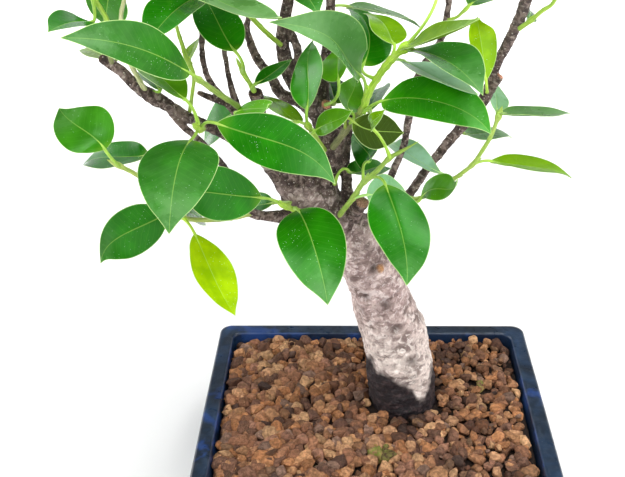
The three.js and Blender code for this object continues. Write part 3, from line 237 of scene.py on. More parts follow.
def smooth_path(rows, step):
    """Points about every step mm on a smooth curve through rows of x, y, z, radius."""
    A = np.array(rows, float)
    L = np.linalg.norm(np.diff(A[:, :3], axis=0), axis=1)
    D = np.diff(A, axis=0) / L[:, None]
    T = np.vstack([D[:1], (D[:-1] * L[1:, None] + D[1:] * L[:-1, None]) / (L[1:] + L[:-1])[:, None], D[-1:]])
    out = []
    for i in range(len(L)):
        n = max(1, int(math.ceil(L[i] / step)))
        for k in range(n):
            t = k / n
            out.append((2 * t**3 - 3 * t * t + 1) * A[i] + (t**3 - 2 * t * t + t) * L[i] * T[i]
                       + (3 * t * t - 2 * t**3) * A[i + 1] + (t**3 - t * t) * L[i] * T[i + 1])
    out.append(A[-1])
    return np.array(out)


def frames(P):
    """Tangent and two turning-free normals at each point of a path."""
    T = unit(np.gradient(P, axis=0))
    ref = np.array([0, 0, 1.0]) if abs(T[0][2]) < 0.9 else np.array([1.0, 0, 0])
    N = unit(np.cross(T[0], ref))
    Ns = []
    for t in T:
        N = unit(N - t * (N @ t))
        Ns.append(N)
    Ns = np.array(Ns)
    return T, Ns, np.cross(T, Ns)


def tube(P, R, k, oval=1.0):
    """A closed round tube: rings of k points and a point at each end."""
    P, R = np.asarray(P, float), np.asarray(R, float)
    T, N, B = frames(P)
    a = np.arange(k) * 2 * math.pi / k
    V = (P[:, None] + R[:, None, None] * (np.cos(a)[None, :, None] * N[:, None] + oval * np.sin(a)[None, :, None] * B[:, None])).reshape(-1, 3)
    n = len(P)
    F = [(i * k + j, i * k + (j + 1) % k, (i + 1) * k + (j + 1) % k, (i + 1) * k + j) for i in range(n - 1) for j in range(k)]
    V = np.vstack([V, P[0] - T[0] * R[0] * 0.35, P[-1] + T[-1] * R[-1] * 0.35])
    F += [(n * k, (j + 1) % k, j) for j in range(k)]
    F += [(n * k + 1, (n - 1) * k + j, (n - 1) * k + (j + 1) % k) for j in range(k)]
    s = np.concatenate([[0], np.cumsum(np.linalg.norm(np.diff(P, axis=0), axis=1))])
    uvw = np.column_stack([np.tile(np.cos(a), n) * np.repeat(R, k), np.repeat(s, k), np.tile(np.sin(a), n) * np.repeat(R, k)])
    uvw = np.vstack([uvw, [0, s[0], 0], [0, s[-1], 0]])
    return V, F, uvw



# ---------------------------------------------------------------- the tree, in millimetres
# Wood of the trunk and its limbs: name, sides, then centre-line points [x, y, z, radius] in millimetres.
WOOD = [
  ['trunk', 12, [[18,8.2,40,15],[18.2,8.3,52,23],[18.5,8.3,56.8,20.6],[17.8,8.6,71.1,20.2],[14,9,102.6,19.4],[9,8.5,121.5,18.3],[3.7,7,139.7,16.4],[-2.1,5,157.6,15.2],[-8.5,3,174.9,15.4],[-14.1,0,186.4,14.2],[-17.9,-1,190.8,12]]],
  ['limb_mid', 8, [[-19,-1,191.4,12.5],[-28.9,-2,205.7,11],[-29.2,-2,220.2,8.2],[-25.8,-2,233.1,7.6],[-23.8,-2,246.2,7.4],[-28.3,-2,257.4,6],[-28.6,-2,266.6,4.4],[-26.3,0,284.9,2.8],[-24.1,0,302.2,2.4],[-22.9,0,315.9,2.3],[-21.7,-2,333,2],[-19,2,352,1.8]]],
  ['limb_left', 8, [[-20.7,-1,192.7,13],[-30.3,-2,203.2,12.2],[-39.2,-3,214.7,11.8],[-49.2,-6,229.3,8.7],[-59.2,-11,242.6,6.2],[-72.4,-16,252.1,4],[-85.9,-20,259.9,2.7],[-93.8,-21,264.7,2.5],[-101.1,-22,269.9,2.9],[-108,-22,274.4,3.7],[-116.6,-22,280.6,2.9],[-124.3,-22,289.3,2.7],[-132.6,-22,296.1,2.5]]],
  ['limb_low', 6, [[-34.7,-3,200.1,7],[-46.6,-5,199.9,4.6],[-56,-9,201.9,3],[-66,-15,207.3,2.7],[-72,-19,221.9,2.2],[-78.7,-22,239.4,1.7],[-87.4,-22,250.5,1.7],[-92,-22,255.7,1.7],[-96.6,-22,260.3,1.75],[-101.8,-22,267.8,2.2]]],
  ['limb_right', 6, [[-12.4,-1,191.4,8],[-14,-1,200.1,5.4],[-15.1,-1,208.8,3.5],[-15.9,-1,219.6,2.9],[-16.6,0,230.9,2.8],[-15.5,4,243.5,2.8],[-12.3,8,257,2.2]]],
  ['twig_r1', 5, [[-7.4,-1,187.6,5],[2.3,2,204,2.6],[8.7,6,219.6,2.1],[14.4,10,233.1,1.9],[17.2,12,249.5,2.1],[22.3,14,274.2,2],[32.9,16,291.9,1.8],[35.6,18,310.2,1.7],[36.8,18,325.9,1.6]]],
  ['limb_far', 6, [[-5.2,0,178,6.5],[8.1,6,193.7,3],[19.1,12,204.9,2.6],[29.3,16,219.5,2.5],[37.7,18,230.5,2.5],[46.4,20,241.3,2.8],[54.6,22,250.8,2.8],[58.8,22,258.7,3.3],[62.3,22,274.7,2.7],[67.9,22,287.5,2.8],[72.8,22,301,3.1],[75.6,22,313.6,2.9],[78.7,22,327.3,2.4]]],
  ['leader_b', 6, [[-26.3,-2,254.6,5],[-35.3,-1,265.2,4],[-43.2,0,275.6,3.7],[-46.1,0,285.1,3.5],[-47.2,0,295.4,3.4],[-46.1,0,304.4,3.2],[-43.7,0,316.2,2.8],[-43.5,-3,330.3,2.3]]],
  ['leader_b2', 5, [[-44.1,0,277.8,2.4],[-39.9,-3,286.1,2.2],[-39.6,-4,293.1,2.2],[-42,-2,299,2.1],[-45.1,-1,303.7,2.4]]],
  ['leader_c', 6, [[-31.4,-1,258.6,4.6],[-40.1,2,263.5,3.4],[-49.5,5,266.3,2.9],[-53.8,6,274.6,2.5],[-60,6,283.2,2.3],[-64,6,293.7,2.1],[-65.2,6,299.8,1.6],[-63,6,310.8,1.4],[-63.4,8,324,1.3]]],
  ['twig_d', 5, [[-67.2,-12,244.8,3.4],[-69,-11,257.6,2.3],[-71.2,-9,267.1,1.9],[-74.1,-7,279.5,1.4],[-75.4,-6,291.1,1.3],[-76.8,-6,304.6,1.3],[-78.7,-6,318.3,1.2],[-79.5,-8,329.2,1.2]]],
  ['twig_e', 5, [[-69.4,-11,259.8,2.1],[-77.3,-14,272.3,1.8],[-82.5,-17,282.3,1.6],[-84.3,-19,293.1,1.5],[-83.6,-20,304.2,1.5],[-80.9,-22,316.2,1.4]]],
  ['stub_e2', 5, [[-73.7,-13,268.1,1.7],[-81,-16,272,1.6],[-87.9,-20,277,1.4]]],
  ['stub_far', 6, [[60.1,21,261.3,2.4],[64.7,18,269.9,1.8]]],
  ['stub_s4', 6, [[-59.2,-11,242.6,4.5],[-58.7,-14,255.5,3],[-58.5,-20,268.7,3],[-59.3,-26,279.3,3.2]]],
  ['stub_trunk', 6, [[-12.4,-5,201.1,5],[-10.3,-9,207.5,4],[-7.4,-14,213.2,3.6]]],
  ['twig_b', 6, [[-91.9,-21,263.9,2.3],[-87.3,-31,265.6,2.2],[-83.7,-40,266.6,2.2]]],
  ['cut_mid', 6, [[-28.1,-5,260.2,3.4],[-25.8,-11,266.9,2.8]]],
  ['limb_crown_back', 6, [[-22.5,0,318,2.3],[-16,24,330,2],[-9,48,340,1.8],[-4,66,345,1.5]]],
  ['limb_crown_right', 6, [[75.9,22,315,2.4],[90,40,326,1.7],[98,52,336,1.4]]],
  ['root_0', 6, [[8.5,10.7,54,9],[-5.1,14.1,47,6.5],[-18.7,17.5,38,4],[-30.3,20.4,29,2.2]]],
  ['root_1', 6, [[15.3,-1.3,54,9],[11.3,-14.7,47,6.5],[7.3,-28.1,38,4],[3.8,-39.6,29,2.2]]],
  ['root_2', 6, [[26.5,2.8,54,9],[38.2,-5,47,6.5],[49.8,-12.8,38,4],[59.8,-19.4,29,2.2]]],
  ['root_3', 6, [[23.2,17,54,9],[30.2,29.1,47,6.5],[37.2,41.2,38,4],[43.3,51.6,29,2.2]]],
]
# Green shoots: name, then centre-line points [x, y, z, radius].
SHOOTS = [
  ['shoot_low', [[-64.9,-15,207.3,1.4],[-78.5,-28,210.9,1.25],[-87.5,-36,214.8,1.2],[-96.8,-44,220.9,1.2],[-106.5,-46,234.3,1.1],[-116.2,-47,245.7,1.1],[-123.6,-48,251,1.1]]],
  ['shoot_front', [[-83.7,-40,266.6,1.6],[-84.2,-44,268.1,1.5],[-84.8,-48,270.8,1.3]]],
  ['shoot_upleft', [[-65.5,-13,245.2,1.5],[-64.2,-26,262.3,1.4],[-65.2,-40,276.6,1.35],[-70.1,-49,285.1,1.3],[-75.1,-58,293.4,1.3],[-78.4,-65,299.7,1.15]]],
  ['shoot_s4', [[-59.4,-26,278.8,1.2],[-60.3,-27,281.7,1.1],[-64.4,-27,289.7,1.1],[-65.6,-27,292.7,0.9]]],
  ['shoot_trunk', [[-36.3,-13,205.5,1.6],[-41.5,-30,217.1,1.4],[-46.8,-38,224,1.3]]],
  ['shoot_mid', [[-20.5,-9,201.5,1.5],[-16.6,-18,211.8,1.4],[-12.4,-25,221.3,1.35],[-7.5,-30,232.3,1.3],[-0.2,-33,241,1.2],[6,-35,248.9,1.1],[11.1,-36,252.5,0.9],[16.7,-37,256.6,0.35]]],
  ['shoot_main', [[-22.7,-9,242.6,1.9],[-15.9,-18,255.8,1.7],[-8.1,-26,269.7,1.6],[-4.9,-31,280.7,1.7],[-1.3,-33,287.9,1.6],[2.7,-35,294.8,1.7],[6.7,-36,299.9,1.6],[10.2,-37,303.4,1.3]]],
  ['shoot_c', [[-27.3,-9,240.9,1.5],[-29.9,-20,250.9,1.3],[-32.1,-34,262.4,1.2],[-33.5,-42,268.4,1.2]]],
  ['shoot_right', [[17.3,8,203.3,1.4],[24,3,206.5,1.2],[32.1,0,212.9,1.1],[40.1,-2,219.8,1.1],[45,-3,224.4,1.1],[49.8,-4,229.5,1.1],[54.6,-3,237.1,1.1],[59.1,0,244.2,1.1],[62.9,6,251.7,1]]],
  ['shoot_tipright', [[71.9,19,294.7,1.3],[76.9,16,300.1,1.2],[81.4,14,305.2,1.1],[86,12,309.7,1],[87.5,12,318,0.9]]],
  ['shoot_tr2', [[35.3,15,301,0.9],[39.5,13,303,0.8],[43.1,12,306.8,0.8]]],
  ['shoot_l1', [[-127.5,-23,292.9,1.3],[-127.4,-26,305.7,1.2],[-125.9,-28,316.7,1.2],[-127.4,-30,321.9,1.1],[-129.6,-32,328.8,1.1]]],
  ['shoot_l2', [[-112.7,-23,278.7,1.3],[-115,-26,286.9,1.2],[-117.7,-27,294.7,1.15],[-119,-28,305.3,1.1],[-118.4,-30,317.2,1],[-114.7,-32,327.7,0.9]]],
  ['shoot_l3', [[-93.5,-20,264.8,1],[-91,-20,275.8,0.95],[-88.9,-23,288.6,1],[-90.6,-24,293.9,1.2],[-92.3,-26,303.3,1],[-93.5,-28,311.6,0.9],[-94.2,-30,323.3,0.9],[-94.4,-32,331.9,0.9]]],
  ['shoot_l4', [[-47.7,-4,295.2,1.2],[-54.2,-10,303.6,1.2],[-59.5,-15,311.5,1.2],[-63.8,-19,318.9,1.1],[-68.4,-23,326.5,1],[-74.4,-28,335.9,1]]],
  ['crown_01', [[-19.2,2.2,350,1.25],[-19.3,1.8,362.6,1.15],[-17.3,0.4,373.8,1],[-15.4,-1,384,0.7]]],
  ['crown_02', [[-43,-2.2,328.5,1.25],[-48.1,-6.9,341.5,1.15],[-50,-12.5,353.8,1],[-51.5,-17.4,365.2,0.7]]],
  ['crown_03', [[-77.9,-7.9,327.9,1.25],[-90.2,-7.6,336.1,1.15],[-99.1,-8.7,346.1,1],[-106.6,-9.8,355.6,0.7]]],
  ['crown_04', [[-62.7,6.4,323.1,1.25],[-69.7,21.3,329.2,1.15],[-74.7,33.2,339,1],[-78.9,43.3,348.7,0.7]]],
  ['crown_05', [[-4.2,64.2,344.2,1.25],[-3.6,74.3,347.1,1.15],[-2.2,81.6,351.7,1],[-1.1,87.9,356.3,0.7]]],
  ['crown_06', [[36.6,18.2,324,1.25],[36.2,17.6,338,1.15],[38.2,15.7,350.6,1],[40.1,14,362.2,0.7]]],
  ['crown_07', [[77,22.1,326.2,1.25],[89.3,21.6,336.7,1.15],[101.7,20.7,344.3,1],[112.5,19.9,351.6,0.7]]],
  ['crown_08', [[97.2,50.4,335.1,1.25],[99.9,58.9,339.1,1.15],[103.3,64.8,343.4,1],[106.3,69.8,347.7,0.7]]],
]
# Leaves: node, what carries the stalk, stalk start, blade base, two controls of the midrib, tip, face normal,
# blade width, fold angle of each half in degrees, tone.
LEAVES = [
  ['leaf_01', 'shoot_upleft', [-78.4,-65,299.7], [-81.1,-72,305.6], [-91.4,-81.8,317.8], [-103.8,-91,327.7], [-123.9,-102.3,330.9], [0.65,-0.38,0.65], 24.2, 8, 'haze'],
  ['shoot_l4', 'shoot_l4', [-68.4,-23,326.5], [-80.2,-30,327.6], [-89.8,-42.9,326.7], [-93.9,-55,322.9], [-99.7,-66.3,316.5], [-0.1,-0.24,0.97], 26.5, 10, 'green'],
  ['leaf_02', 'shoot_s4', [-64.4,-27,289.7], [-65.6,-41,304.7], [-73,-32,310], [-78.2,-17.4,320.6], [-85.1,-6.2,321.3], [0.24,-0.31,0.92], 23.0, 1, 'dark'],
  ['leaf_03', 'shoot_l4', [-74.4,-28,335.9], [-87,-42,335.3], [-73.1,-53.1,334.3], [-53.3,-68.8,325.5], [-41.1,-77.5,330.6], [0.12,0.03,0.99], 26.7, 9, 'pale'],
  ['leaf_04', 'shoot_main', [-6.3,-31,280.3], [-8.5,-34,289.8], [-21.1,-48.3,306.2], [-13.1,-56.2,319.1], [-47.9,-63.3,324.4], [0.74,-0.58,0.35], 27.7, 35, 'pale'],
  ['leaf_05', 'shoot_main', [3.3,-33,294.6], [6.4,-30.9,303.8], [3.7,-20.5,305.1], [5.2,-6.9,309], [-7.4,4.6,308], [0.19,-0.04,0.98], 17.8, 6, 'lime'],
  ['leaf_06', 'wood', [-23.6,0.5,306], [-15.4,26,305.6], [-0.8,30.1,301.7], [13.5,35.9,298.7], [24.2,39.2,289.6], [0.33,0.15,0.93], 22.7, 8, 'pale'],
  ['leaf_07', 'shoot_main', [10.2,-37,303.4], [10.8,-41.8,305.9], [17.4,-51.6,311.5], [27,-61.4,316.8], [39.3,-68.3,326.5], [-0.52,0.1,0.85], 20.6, 16, 'olive'],
  ['leaf_08', 'wood', [58.6,21,260.2], [56.1,11.6,270.4], [53.5,20.7,291], [51.3,22.3,294.4], [51.9,27.2,298.7], [0.55,-0.69,0.46], 19.4, 12, 'lime'],
  ['leaf_09', 'shoot_main', [9.7,-38,303.3], [14.3,-42,305.1], [25.5,-56.2,307], [32.9,-69.4,307.1], [40.3,-84.9,299.7], [0.06,-0.09,0.99], 27.6, 18, 'haze'],
  ['leaf_10', 'shoot_main', [5.9,-34,297.8], [10.8,-37.1,297.9], [17.3,-46.7,298.3], [31,-59.6,292.4], [40.7,-68.5,293.8], [0.21,0.07,0.98], 23.2, 11, 'blue'],
  ['leaf_11', 'shoot_main', [-7.1,-27,269], [0.9,-41,280.1], [13.1,-52.5,289], [38.5,-64.3,288.7], [46,-77.8,279.3], [-0.29,-0.37,0.88], 25.7, 9, 'green'],
  ['leaf_12', 'wood', [-28.4,-3,263.2], [-19.2,-30.4,286.6], [-20.4,-19.5,291.2], [-19.8,-8.2,293.6], [-17.3,3.4,293.9], [-0.66,-0.12,0.74], 21.5, 10, 'bright'],
  ['leaf_13', 'shoot_main', [-13.9,-21,260.3], [-12.6,-24,267.3], [-19.2,-15,269.9], [-9.5,-7,269.5], [-10.8,5.2,277.7], [0.68,-0.28,0.68], 17.1, 8, 'bright'],
  ['leaf_14', 'shoot_c', [-33.5,-42,268.4], [-33.6,-46,278.5], [-31.6,-32.8,287.9], [-36.7,-20.9,292.4], [-31.8,-6,298.2], [-0.67,-0.3,0.68], 20.9, 7, 'gloss'],
  ['shoot_s4', 'shoot_s4', [-60,-28,281.6], [-58.8,-29,284.5], [-51.8,-23.2,286.2], [-47.8,-16.1,288.8], [-42.4,-9.2,289.5], [-0.09,-0.18,0.98], 11.3, 8, 'green'],
  ['shoot_c', 'shoot_c', [-33.1,-41,266.9], [-38.4,-30,265.6], [-47.1,-21.3,264.9], [-51.3,-7.9,270.8], [-58.9,0.6,267.5], [0.36,0.18,0.91], 20.1, 3, 'olive'],
  ['shoot_upleft', 'shoot_upleft', [-64.3,-37,273.3], [-67.1,-43,275.8], [-62.8,-47.7,281.3], [-47.8,-55.1,280.9], [-50,-59.8,286.6], [-0.57,-0.06,0.82], 12.9, 0, 'bright'],
  ['leaf_15', 'shoot_front', [-84,-43,267.1], [-74.5,-53,274.6], [-47.7,-60.7,267.1], [-31.7,-65.7,270.7], [-20.3,-83.1,258.6], [-0.43,-0.88,0.2], 25.7, 8, 'green'],
  ['shoot_upleft', 'shoot_upleft', [-64.2,-29,265.1], [-72.8,0.3,259], [-83,6.5,251.2], [-90.4,13.7,242], [-94.8,22.1,231.3], [-0.85,-0.33,0.42], 25.7, 10, 'dark'],
  ['leaf_16', 'shoot_low', [-123.6,-48,251], [-127.8,-54,262.4], [-133.2,-50.3,270.5], [-144.7,-48.1,271.6], [-150.9,-39.9,277.5], [0.17,-0.58,0.8], 28.0, 12, 'green'],
  ['leaf_17', 'shoot_low', [-111.3,-46,239.8], [-111.9,-38,252.1], [-127.4,-35,248.6], [-141.2,-27.8,248.6], [-150.1,-23.3,239.9], [-0.33,-0.08,0.94], 24.4, 9, 'mid'],
  ['leaf_18', 'shoot_front', [-84.5,-45,269], [-86.3,-58,268.7], [-88.9,-74.8,271.1], [-90.4,-91.7,261.8], [-90.4,-105.2,246.4], [-0.04,-0.42,0.91], 36.0, 0, 'haze'],
  ['leaf_19', 'shoot_low', [-101.9,-45,228.2], [-103.4,-47,224.9], [-116.3,-59.6,221.8], [-130.2,-70.1,225.4], [-127.8,-86.4,220.3], [0.81,-0.53,0.25], 25.0, 8, 'green'],
  ['leaf_20', 'shoot_low', [-96.2,-45,220.9], [-90.5,-50,214.6], [-81.6,-63,201.3], [-76.4,-72.9,193.1], [-68.8,-80.9,187.4], [0.54,-0.31,0.78], 23.6, 10, 'lime'],
  ['leaf_21', 'shoot_trunk', [-45,-36,222.1], [-57.6,-40,229.5], [-74.7,-48.6,235.2], [-88.8,-57.4,243.8], [-90.9,-69.9,248.2], [0.73,-0.6,0.34], 26.3, 1, 'mid'],
  ['leaf_22', 'shoot_front', [-84.2,-48,272.3], [-88.7,-50,285.4], [-102.8,-39.7,292.6], [-106.1,-29.1,295.6], [-117.5,-19.6,293.6], [0.29,0.01,0.96], 22.6, 11, 'bright'],
  ['shoot_trunk', 'shoot_trunk', [-46.4,-37,223.8], [-55.6,-3.9,207.4], [-67,0.8,203.8], [-76.5,5.9,197.7], [-84.3,11.4,189.1], [-0.58,-0.12,0.81], 19.3, 10, 'dark'],
  ['shoot_low', 'shoot_low', [-99,-44,223.8], [-102.6,-40,224.5], [-96.3,-32.5,218.7], [-92.3,-25.4,211.5], [-90.4,-18.5,202.6], [0.82,0.11,0.57], 17.0, 10, 'mid'],
  ['leaf_23', 'shoot_trunk', [-42.4,-31,218], [-39.4,-48,226.9], [-34.4,-63.7,231.2], [-26.1,-85.1,215.2], [-24,-97.4,204.9], [-0.01,-0.41,0.91], 31.6, 2, 'green'],
  ['leaf_24', 'shoot_mid', [-4.5,-31,235.6], [3.1,-44,238.6], [8.1,-60.8,231.2], [13.6,-77.2,222.4], [11.5,-93.2,212.6], [0.22,-0.42,0.88], 29.3, 0, 'green'],
  ['leaf_25', 'shoot_mid', [-12.4,-25,221.3], [-5.4,-28,224.6], [1.6,-20.7,221.6], [8.3,-13.8,216.6], [18.5,-6.7,210.4], [0.73,-0.55,0.4], 21.9, 9, 'blue'],
  ['leaf_26', 'shoot_main', [-15.9,-17,255.4], [-12.4,-29.9,265.6], [-5,-27.3,257.2], [3.8,-19.2,256.2], [13.3,-11.9,251.4], [0.64,-0.73,0.24], 18.7, 12, 'under'],
  ['shoot_mid', 'shoot_mid', [5.5,-35,248.3], [-3.2,-46,268.3], [-7,-50.1,273.6], [-0.8,-55,276.5], [1.7,-57.8,283], [-0.95,-0.3,0.08], 8.0, 10, 'lime'],
  ['shoot_right', 'shoot_right', [40.6,-2,219.8], [35,6.6,219.8], [14,16,226.9], [8.6,28.5,232.6], [8.6,35.3,222.3], [0.03,-0.06,1], 18.6, 19, 'pale'],
  ['shoot_right', 'shoot_right', [18.8,5,203], [24.3,0,207.8], [30.2,0.3,220.7], [41.5,-11.7,212.2], [41.5,-11.7,225.3], [-0.75,-0.11,0.66], 17.9, 12, 'mid'],
  ['leaf_27', 'shoot_right', [49.8,-4,229.5], [60.2,0,229.9], [79.3,1.6,225.8], [95.2,5.9,223.7], [105.8,8.3,215.6], [0.29,0.03,0.96], 20.5, 12, 'limeg'],
  ['shoot_right', 'shoot_right', [62.9,6,251.7], [63.2,6.3,254.8], [81.8,10.4,250.4], [94.5,16.8,249.9], [103.9,22.5,247.3], [0.13,0.13,0.98], 20.4, 12, 'pale'],
  ['shoot_right', 'shoot_right', [62.9,6,251.7], [64.4,19,249.7], [65.6,28.2,254.1], [65.5,37.8,256.5], [64,48,256.9], [0.56,-0.19,0.8], 15.4, 10, 'paleblue'],
  ['leaf_28', 'wood', [37.2,18,229.3], [48.2,28,234.3], [56.7,31.5,228.9], [70.9,42,232.9], [78.7,45.3,222.9], [0.31,0.08,0.95], 17.8, 1, 'pale'],
  ['shoot_tr2', 'shoot_tr2', [43.1,12,306.8], [45,12,309.2], [50.8,19.1,310.9], [56.3,26.3,310.4], [61.3,33.6,307.6], [0.18,-0.06,0.98], 14.0, 10, 'pale'],
  ['shoot_tipright', 'shoot_tipright', [76.9,16,300.1], [76.5,21.7,298.5], [79.5,29.1,299.3], [81,36.8,299], [81,44.7,297.5], [0.79,-0.13,0.6], 9.7, 10, 'dark'],
  ['shoot_main', 'shoot_main', [-6.2,-28,275.1], [-3.5,-14.5,265], [-2.2,-4.2,267.6], [0.2,5.9,267.9], [3.9,15.8,266], [-0.47,0.08,0.88], 19.3, 10, 'blue'],
  ['shoot_mid', 'shoot_mid', [-7,-30,233.5], [-5.5,-18,238.4], [0.3,-8.3,236.2], [-9.2,2.4,237.6], [-14,13.8,240.4], [-0.78,-0.24,0.57], 17.0, 0, 'dark'],
  ['leaf_29', 'wood', [-22.2,-7.3,220.4], [-15,-14,231.8], [-9.1,-10,224.7], [6.8,3.5,231.6], [5.4,6.8,221.1], [0.34,0.15,0.93], 17.6, 11, 'mid'],
  ['shoot_c', 'shoot_c', [-32.1,-34,262.4], [-30.3,-42,265.8], [-26,-45.4,271.9], [-17,-50.5,274.1], [-12.9,-52.8,280.6], [-0.72,-0.4,0.56], 13.4, 12, 'gloss'],
  ['leaf_30', 'wood', [-28.1,-2,265.5], [-21.6,1.7,262.4], [-22.9,12.2,266.9], [-25.5,22.9,269], [-29.6,33.7,268.8], [0.5,-0.05,0.86], 22.8, 10, 'dark'],
  ['shoot_l3', 'shoot_l3', [-89.3,-24,292.9], [-90.5,-22,293.7], [-90.2,-15.5,297.1], [-88.9,-8.8,299], [-86.7,-1.8,299.5], [-0.56,-0.13,0.82], 8.8, 10, 'olive'],
  ['shoot_l1', 'shoot_l1', [-127.6,-25.5,303.6], [-129.4,-15,292.2], [-136.3,-10.1,294.3], [-143,-5.1,294.4], [-149.6,0.1,292.4], [-0.06,-0.09,0.99], 13.0, 10, 'limeg'],
  ['shoot_l2', 'wood', [-111,-22,278.3], [-106,-22,279.2], [-110.9,-14.5,281.9], [-116.3,-7.2,282.4], [-122.1,-0.2,280.7], [0.23,0.1,0.97], 14.0, 10, 'mid'],
  ['shoot_l2', 'shoot_l2', [-114.7,-32,327.7], [-122.3,-22,332.4], [-126.6,-18.7,322.5], [-130.1,-13.1,313.7], [-132.8,-5.2,306.1], [-0.3,-0.85,-0.42], 22.1, 10, 'mid'],
  ['shoot_l1', 'shoot_l1', [-129.6,-32,328.8], [-130.3,-36,317.3], [-132.6,-46.8,321.9], [-135.7,-57.8,323.9], [-139.7,-69.1,323.1], [0.28,0.09,0.96], 19.8, 10, 'dark'],
  ['crown_02', 'crown_02', [-44.9,-5.6,335.8], [-44.6,-6,331.9], [-38.6,-16.2,330.1], [-32.9,-25.3,325.5], [-27.6,-33.3,318.4], [0.14,-0.37,0.92], 22.3, 10, 'dark'],
  ['shoot_main', 'shoot_main', [-1.3,-33,287.9], [-7.6,-22,290.9], [-1.6,-12.2,298.1], [-3.4,1.7,308.7], [-15.8,11.5,308.7], [0.51,-0.3,0.8], 24.0, 10, 'dark'],
  ['shoot_main', 'shoot_main', [10.2,-37,303.4], [24.7,-34,326], [26.8,-24.8,332.1], [30.2,-15,335.9], [34.8,-4.8,337.3], [-0.45,-0.18,0.87], 18.7, 10, 'bright'],
  ['crown_01', 'crown_01', [-19.3,1.9,360.7], [-10.4,2.5,365.1], [2.6,3.5,371.2], [16.2,4.4,374.5], [30.6,5.4,372.6], [-0.18,-0.01,0.98], 22.8, 9, 'green'],
  ['crown_01', 'crown_01', [-19,1.6,364.6], [-24.8,6.1,369.7], [-33.6,13.3,379], [-43.6,21,385.9], [-55.3,29.6,388.8], [0.41,-0.19,0.89], 26.7, 7, 'green'],
  ['crown_01', 'crown_01', [-18.4,1.2,367.8], [-19.6,-6.8,369.6], [-21.1,-18.1,374.2], [-22.8,-29.8,376.7], [-24.9,-41.9,375.8], [0.12,0.15,0.98], 19.7, 7, 'mid'],
  ['crown_01', 'crown_01', [-17.7,0.7,371.4], [-13.8,7.1,374.3], [-8.7,15.7,380.6], [-3.2,24.9,385.3], [2.9,34.8,387.4], [-0.23,-0.3,0.93], 19.0, 12, 'olive'],
  ['crown_01', 'crown_01', [-16.7,-0.1,377.1], [-24.7,0.1,380.7], [-38,0.4,384.8], [-51.4,0.7,387.8], [-65.3,1,388.7], [0.19,-0.01,0.98], 22.5, 9, 'green'],
  ['crown_01', 'crown_01', [-16.1,-0.5,380.3], [-10.6,-8.3,382.5], [-3.6,-18.1,386.9], [3.5,-28,389.1], [10.9,-38.5,387.4], [-0.08,0.11,0.99], 20.3, 12, 'mid'],
  ['crown_02', 'crown_02', [-47,-5.9,338.6], [-51.3,-12.4,339.2], [-59.4,-25.4,343.6], [-67.8,-38.4,345.3], [-76.9,-51.4,342.5], [0.13,0,0.99], 28.6, 11, 'olive'],
  ['crown_02', 'crown_02', [-48.3,-7.4,342.6], [-42.1,-8.3,348.5], [-32.1,-10,356.4], [-21.3,-11.6,362.8], [-9.1,-13.1,366.7], [-0.48,-0.03,0.87], 20.5, 8, 'olive'],
  ['crown_02', 'crown_02', [-49.4,-10.8,350.1], [-58.5,-12.3,351.3], [-74.3,-16,354.8], [-90,-18.8,354.6], [-105.5,-20.1,348], [-0.03,-0.23,0.97], 26.0, 8, 'mid'],
  ['crown_02', 'crown_02', [-50.1,-13,354.8], [-49.6,-21,357], [-48.6,-34.6,362.6], [-47.7,-48.7,365.2], [-46.7,-63.4,362.6], [0,0.13,0.99], 24.1, 7, 'olive'],
  ['crown_02', 'crown_02', [-50.6,-14.5,358.3], [-50.7,-8.6,363.7], [-50.5,-2.7,373.4], [-50.5,4.9,381.4], [-51,15.1,386.6], [0.09,-0.69,0.72], 19.0, 7, 'green'],
  ['crown_02', 'crown_02', [-51.1,-16.2,362.3], [-55,-19.9,366.9], [-62.3,-27,374.7], [-70.1,-34.4,381.7], [-78.9,-42.2,387], [0.5,0.22,0.84], 20.7, 9, 'green'],
  ['crown_03', 'crown_03', [-86.2,-7.7,333.4], [-93.4,-8.1,333.2], [-107.7,-8.8,332.1], [-121.4,-9.5,329.1], [-134.2,-10.3,322.7], [-0.25,0.02,0.97], 22.8, 8, 'olive'],
  ['crown_03', 'crown_03', [-91,-7.7,336.9], [-98.3,0.5,340.2], [-107,7.8,344.6], [-114.9,16.1,346.7], [-121.5,26.4,344.7], [-0.29,-0.41,0.87], 21.5, 7, 'olive'],
  ['crown_03', 'crown_03', [-95,-8.2,341.4], [-98.2,0.9,344.2], [-103.8,12.7,351.6], [-108.6,25.5,355.9], [-112.3,40.3,354.4], [-0.19,-0.31,0.93], 24.9, 12, 'mid'],
  ['crown_03', 'crown_03', [-98.9,-8.7,345.9], [-102.7,-16,350.3], [-108.6,-25.7,356.3], [-114.2,-36.1,361.3], [-119.2,-47.6,364.5], [-0.27,0.51,0.82], 21.7, 13, 'green'],
  ['crown_03', 'crown_03', [-100.4,-8.9,347.8], [-100.1,-4.6,353.7], [-100.9,0.4,365.2], [-100.6,7.5,375], [-98.4,18,381.9], [-0.4,-0.7,0.59], 22.4, 9, 'bright'],
  ['crown_03', 'crown_03', [-101.6,-9.1,349.2], [-108.6,-8.8,345.5], [-118,-8.3,340.3], [-126.2,-7.9,333.7], [-132.2,-7.8,324.7], [-0.65,0.1,0.75], 16.9, 11, 'dark'],
  ['crown_03', 'crown_03', [-105.9,-9.7,354.7], [-110.4,-12.5,361.1], [-117.1,-15.4,369.6], [-124.5,-19.7,376.5], [-132.9,-26.1,380.6], [0.29,0.59,0.75], 17.9, 9, 'olive'],
  ['crown_04', 'crown_04', [-68.6,19.1,328.2], [-65.2,25.6,330.6], [-61.6,36.7,338.5], [-56.1,47.9,343.8], [-47.4,59.2,344.5], [-0.58,-0.03,0.81], 24.9, 12, 'bright'],
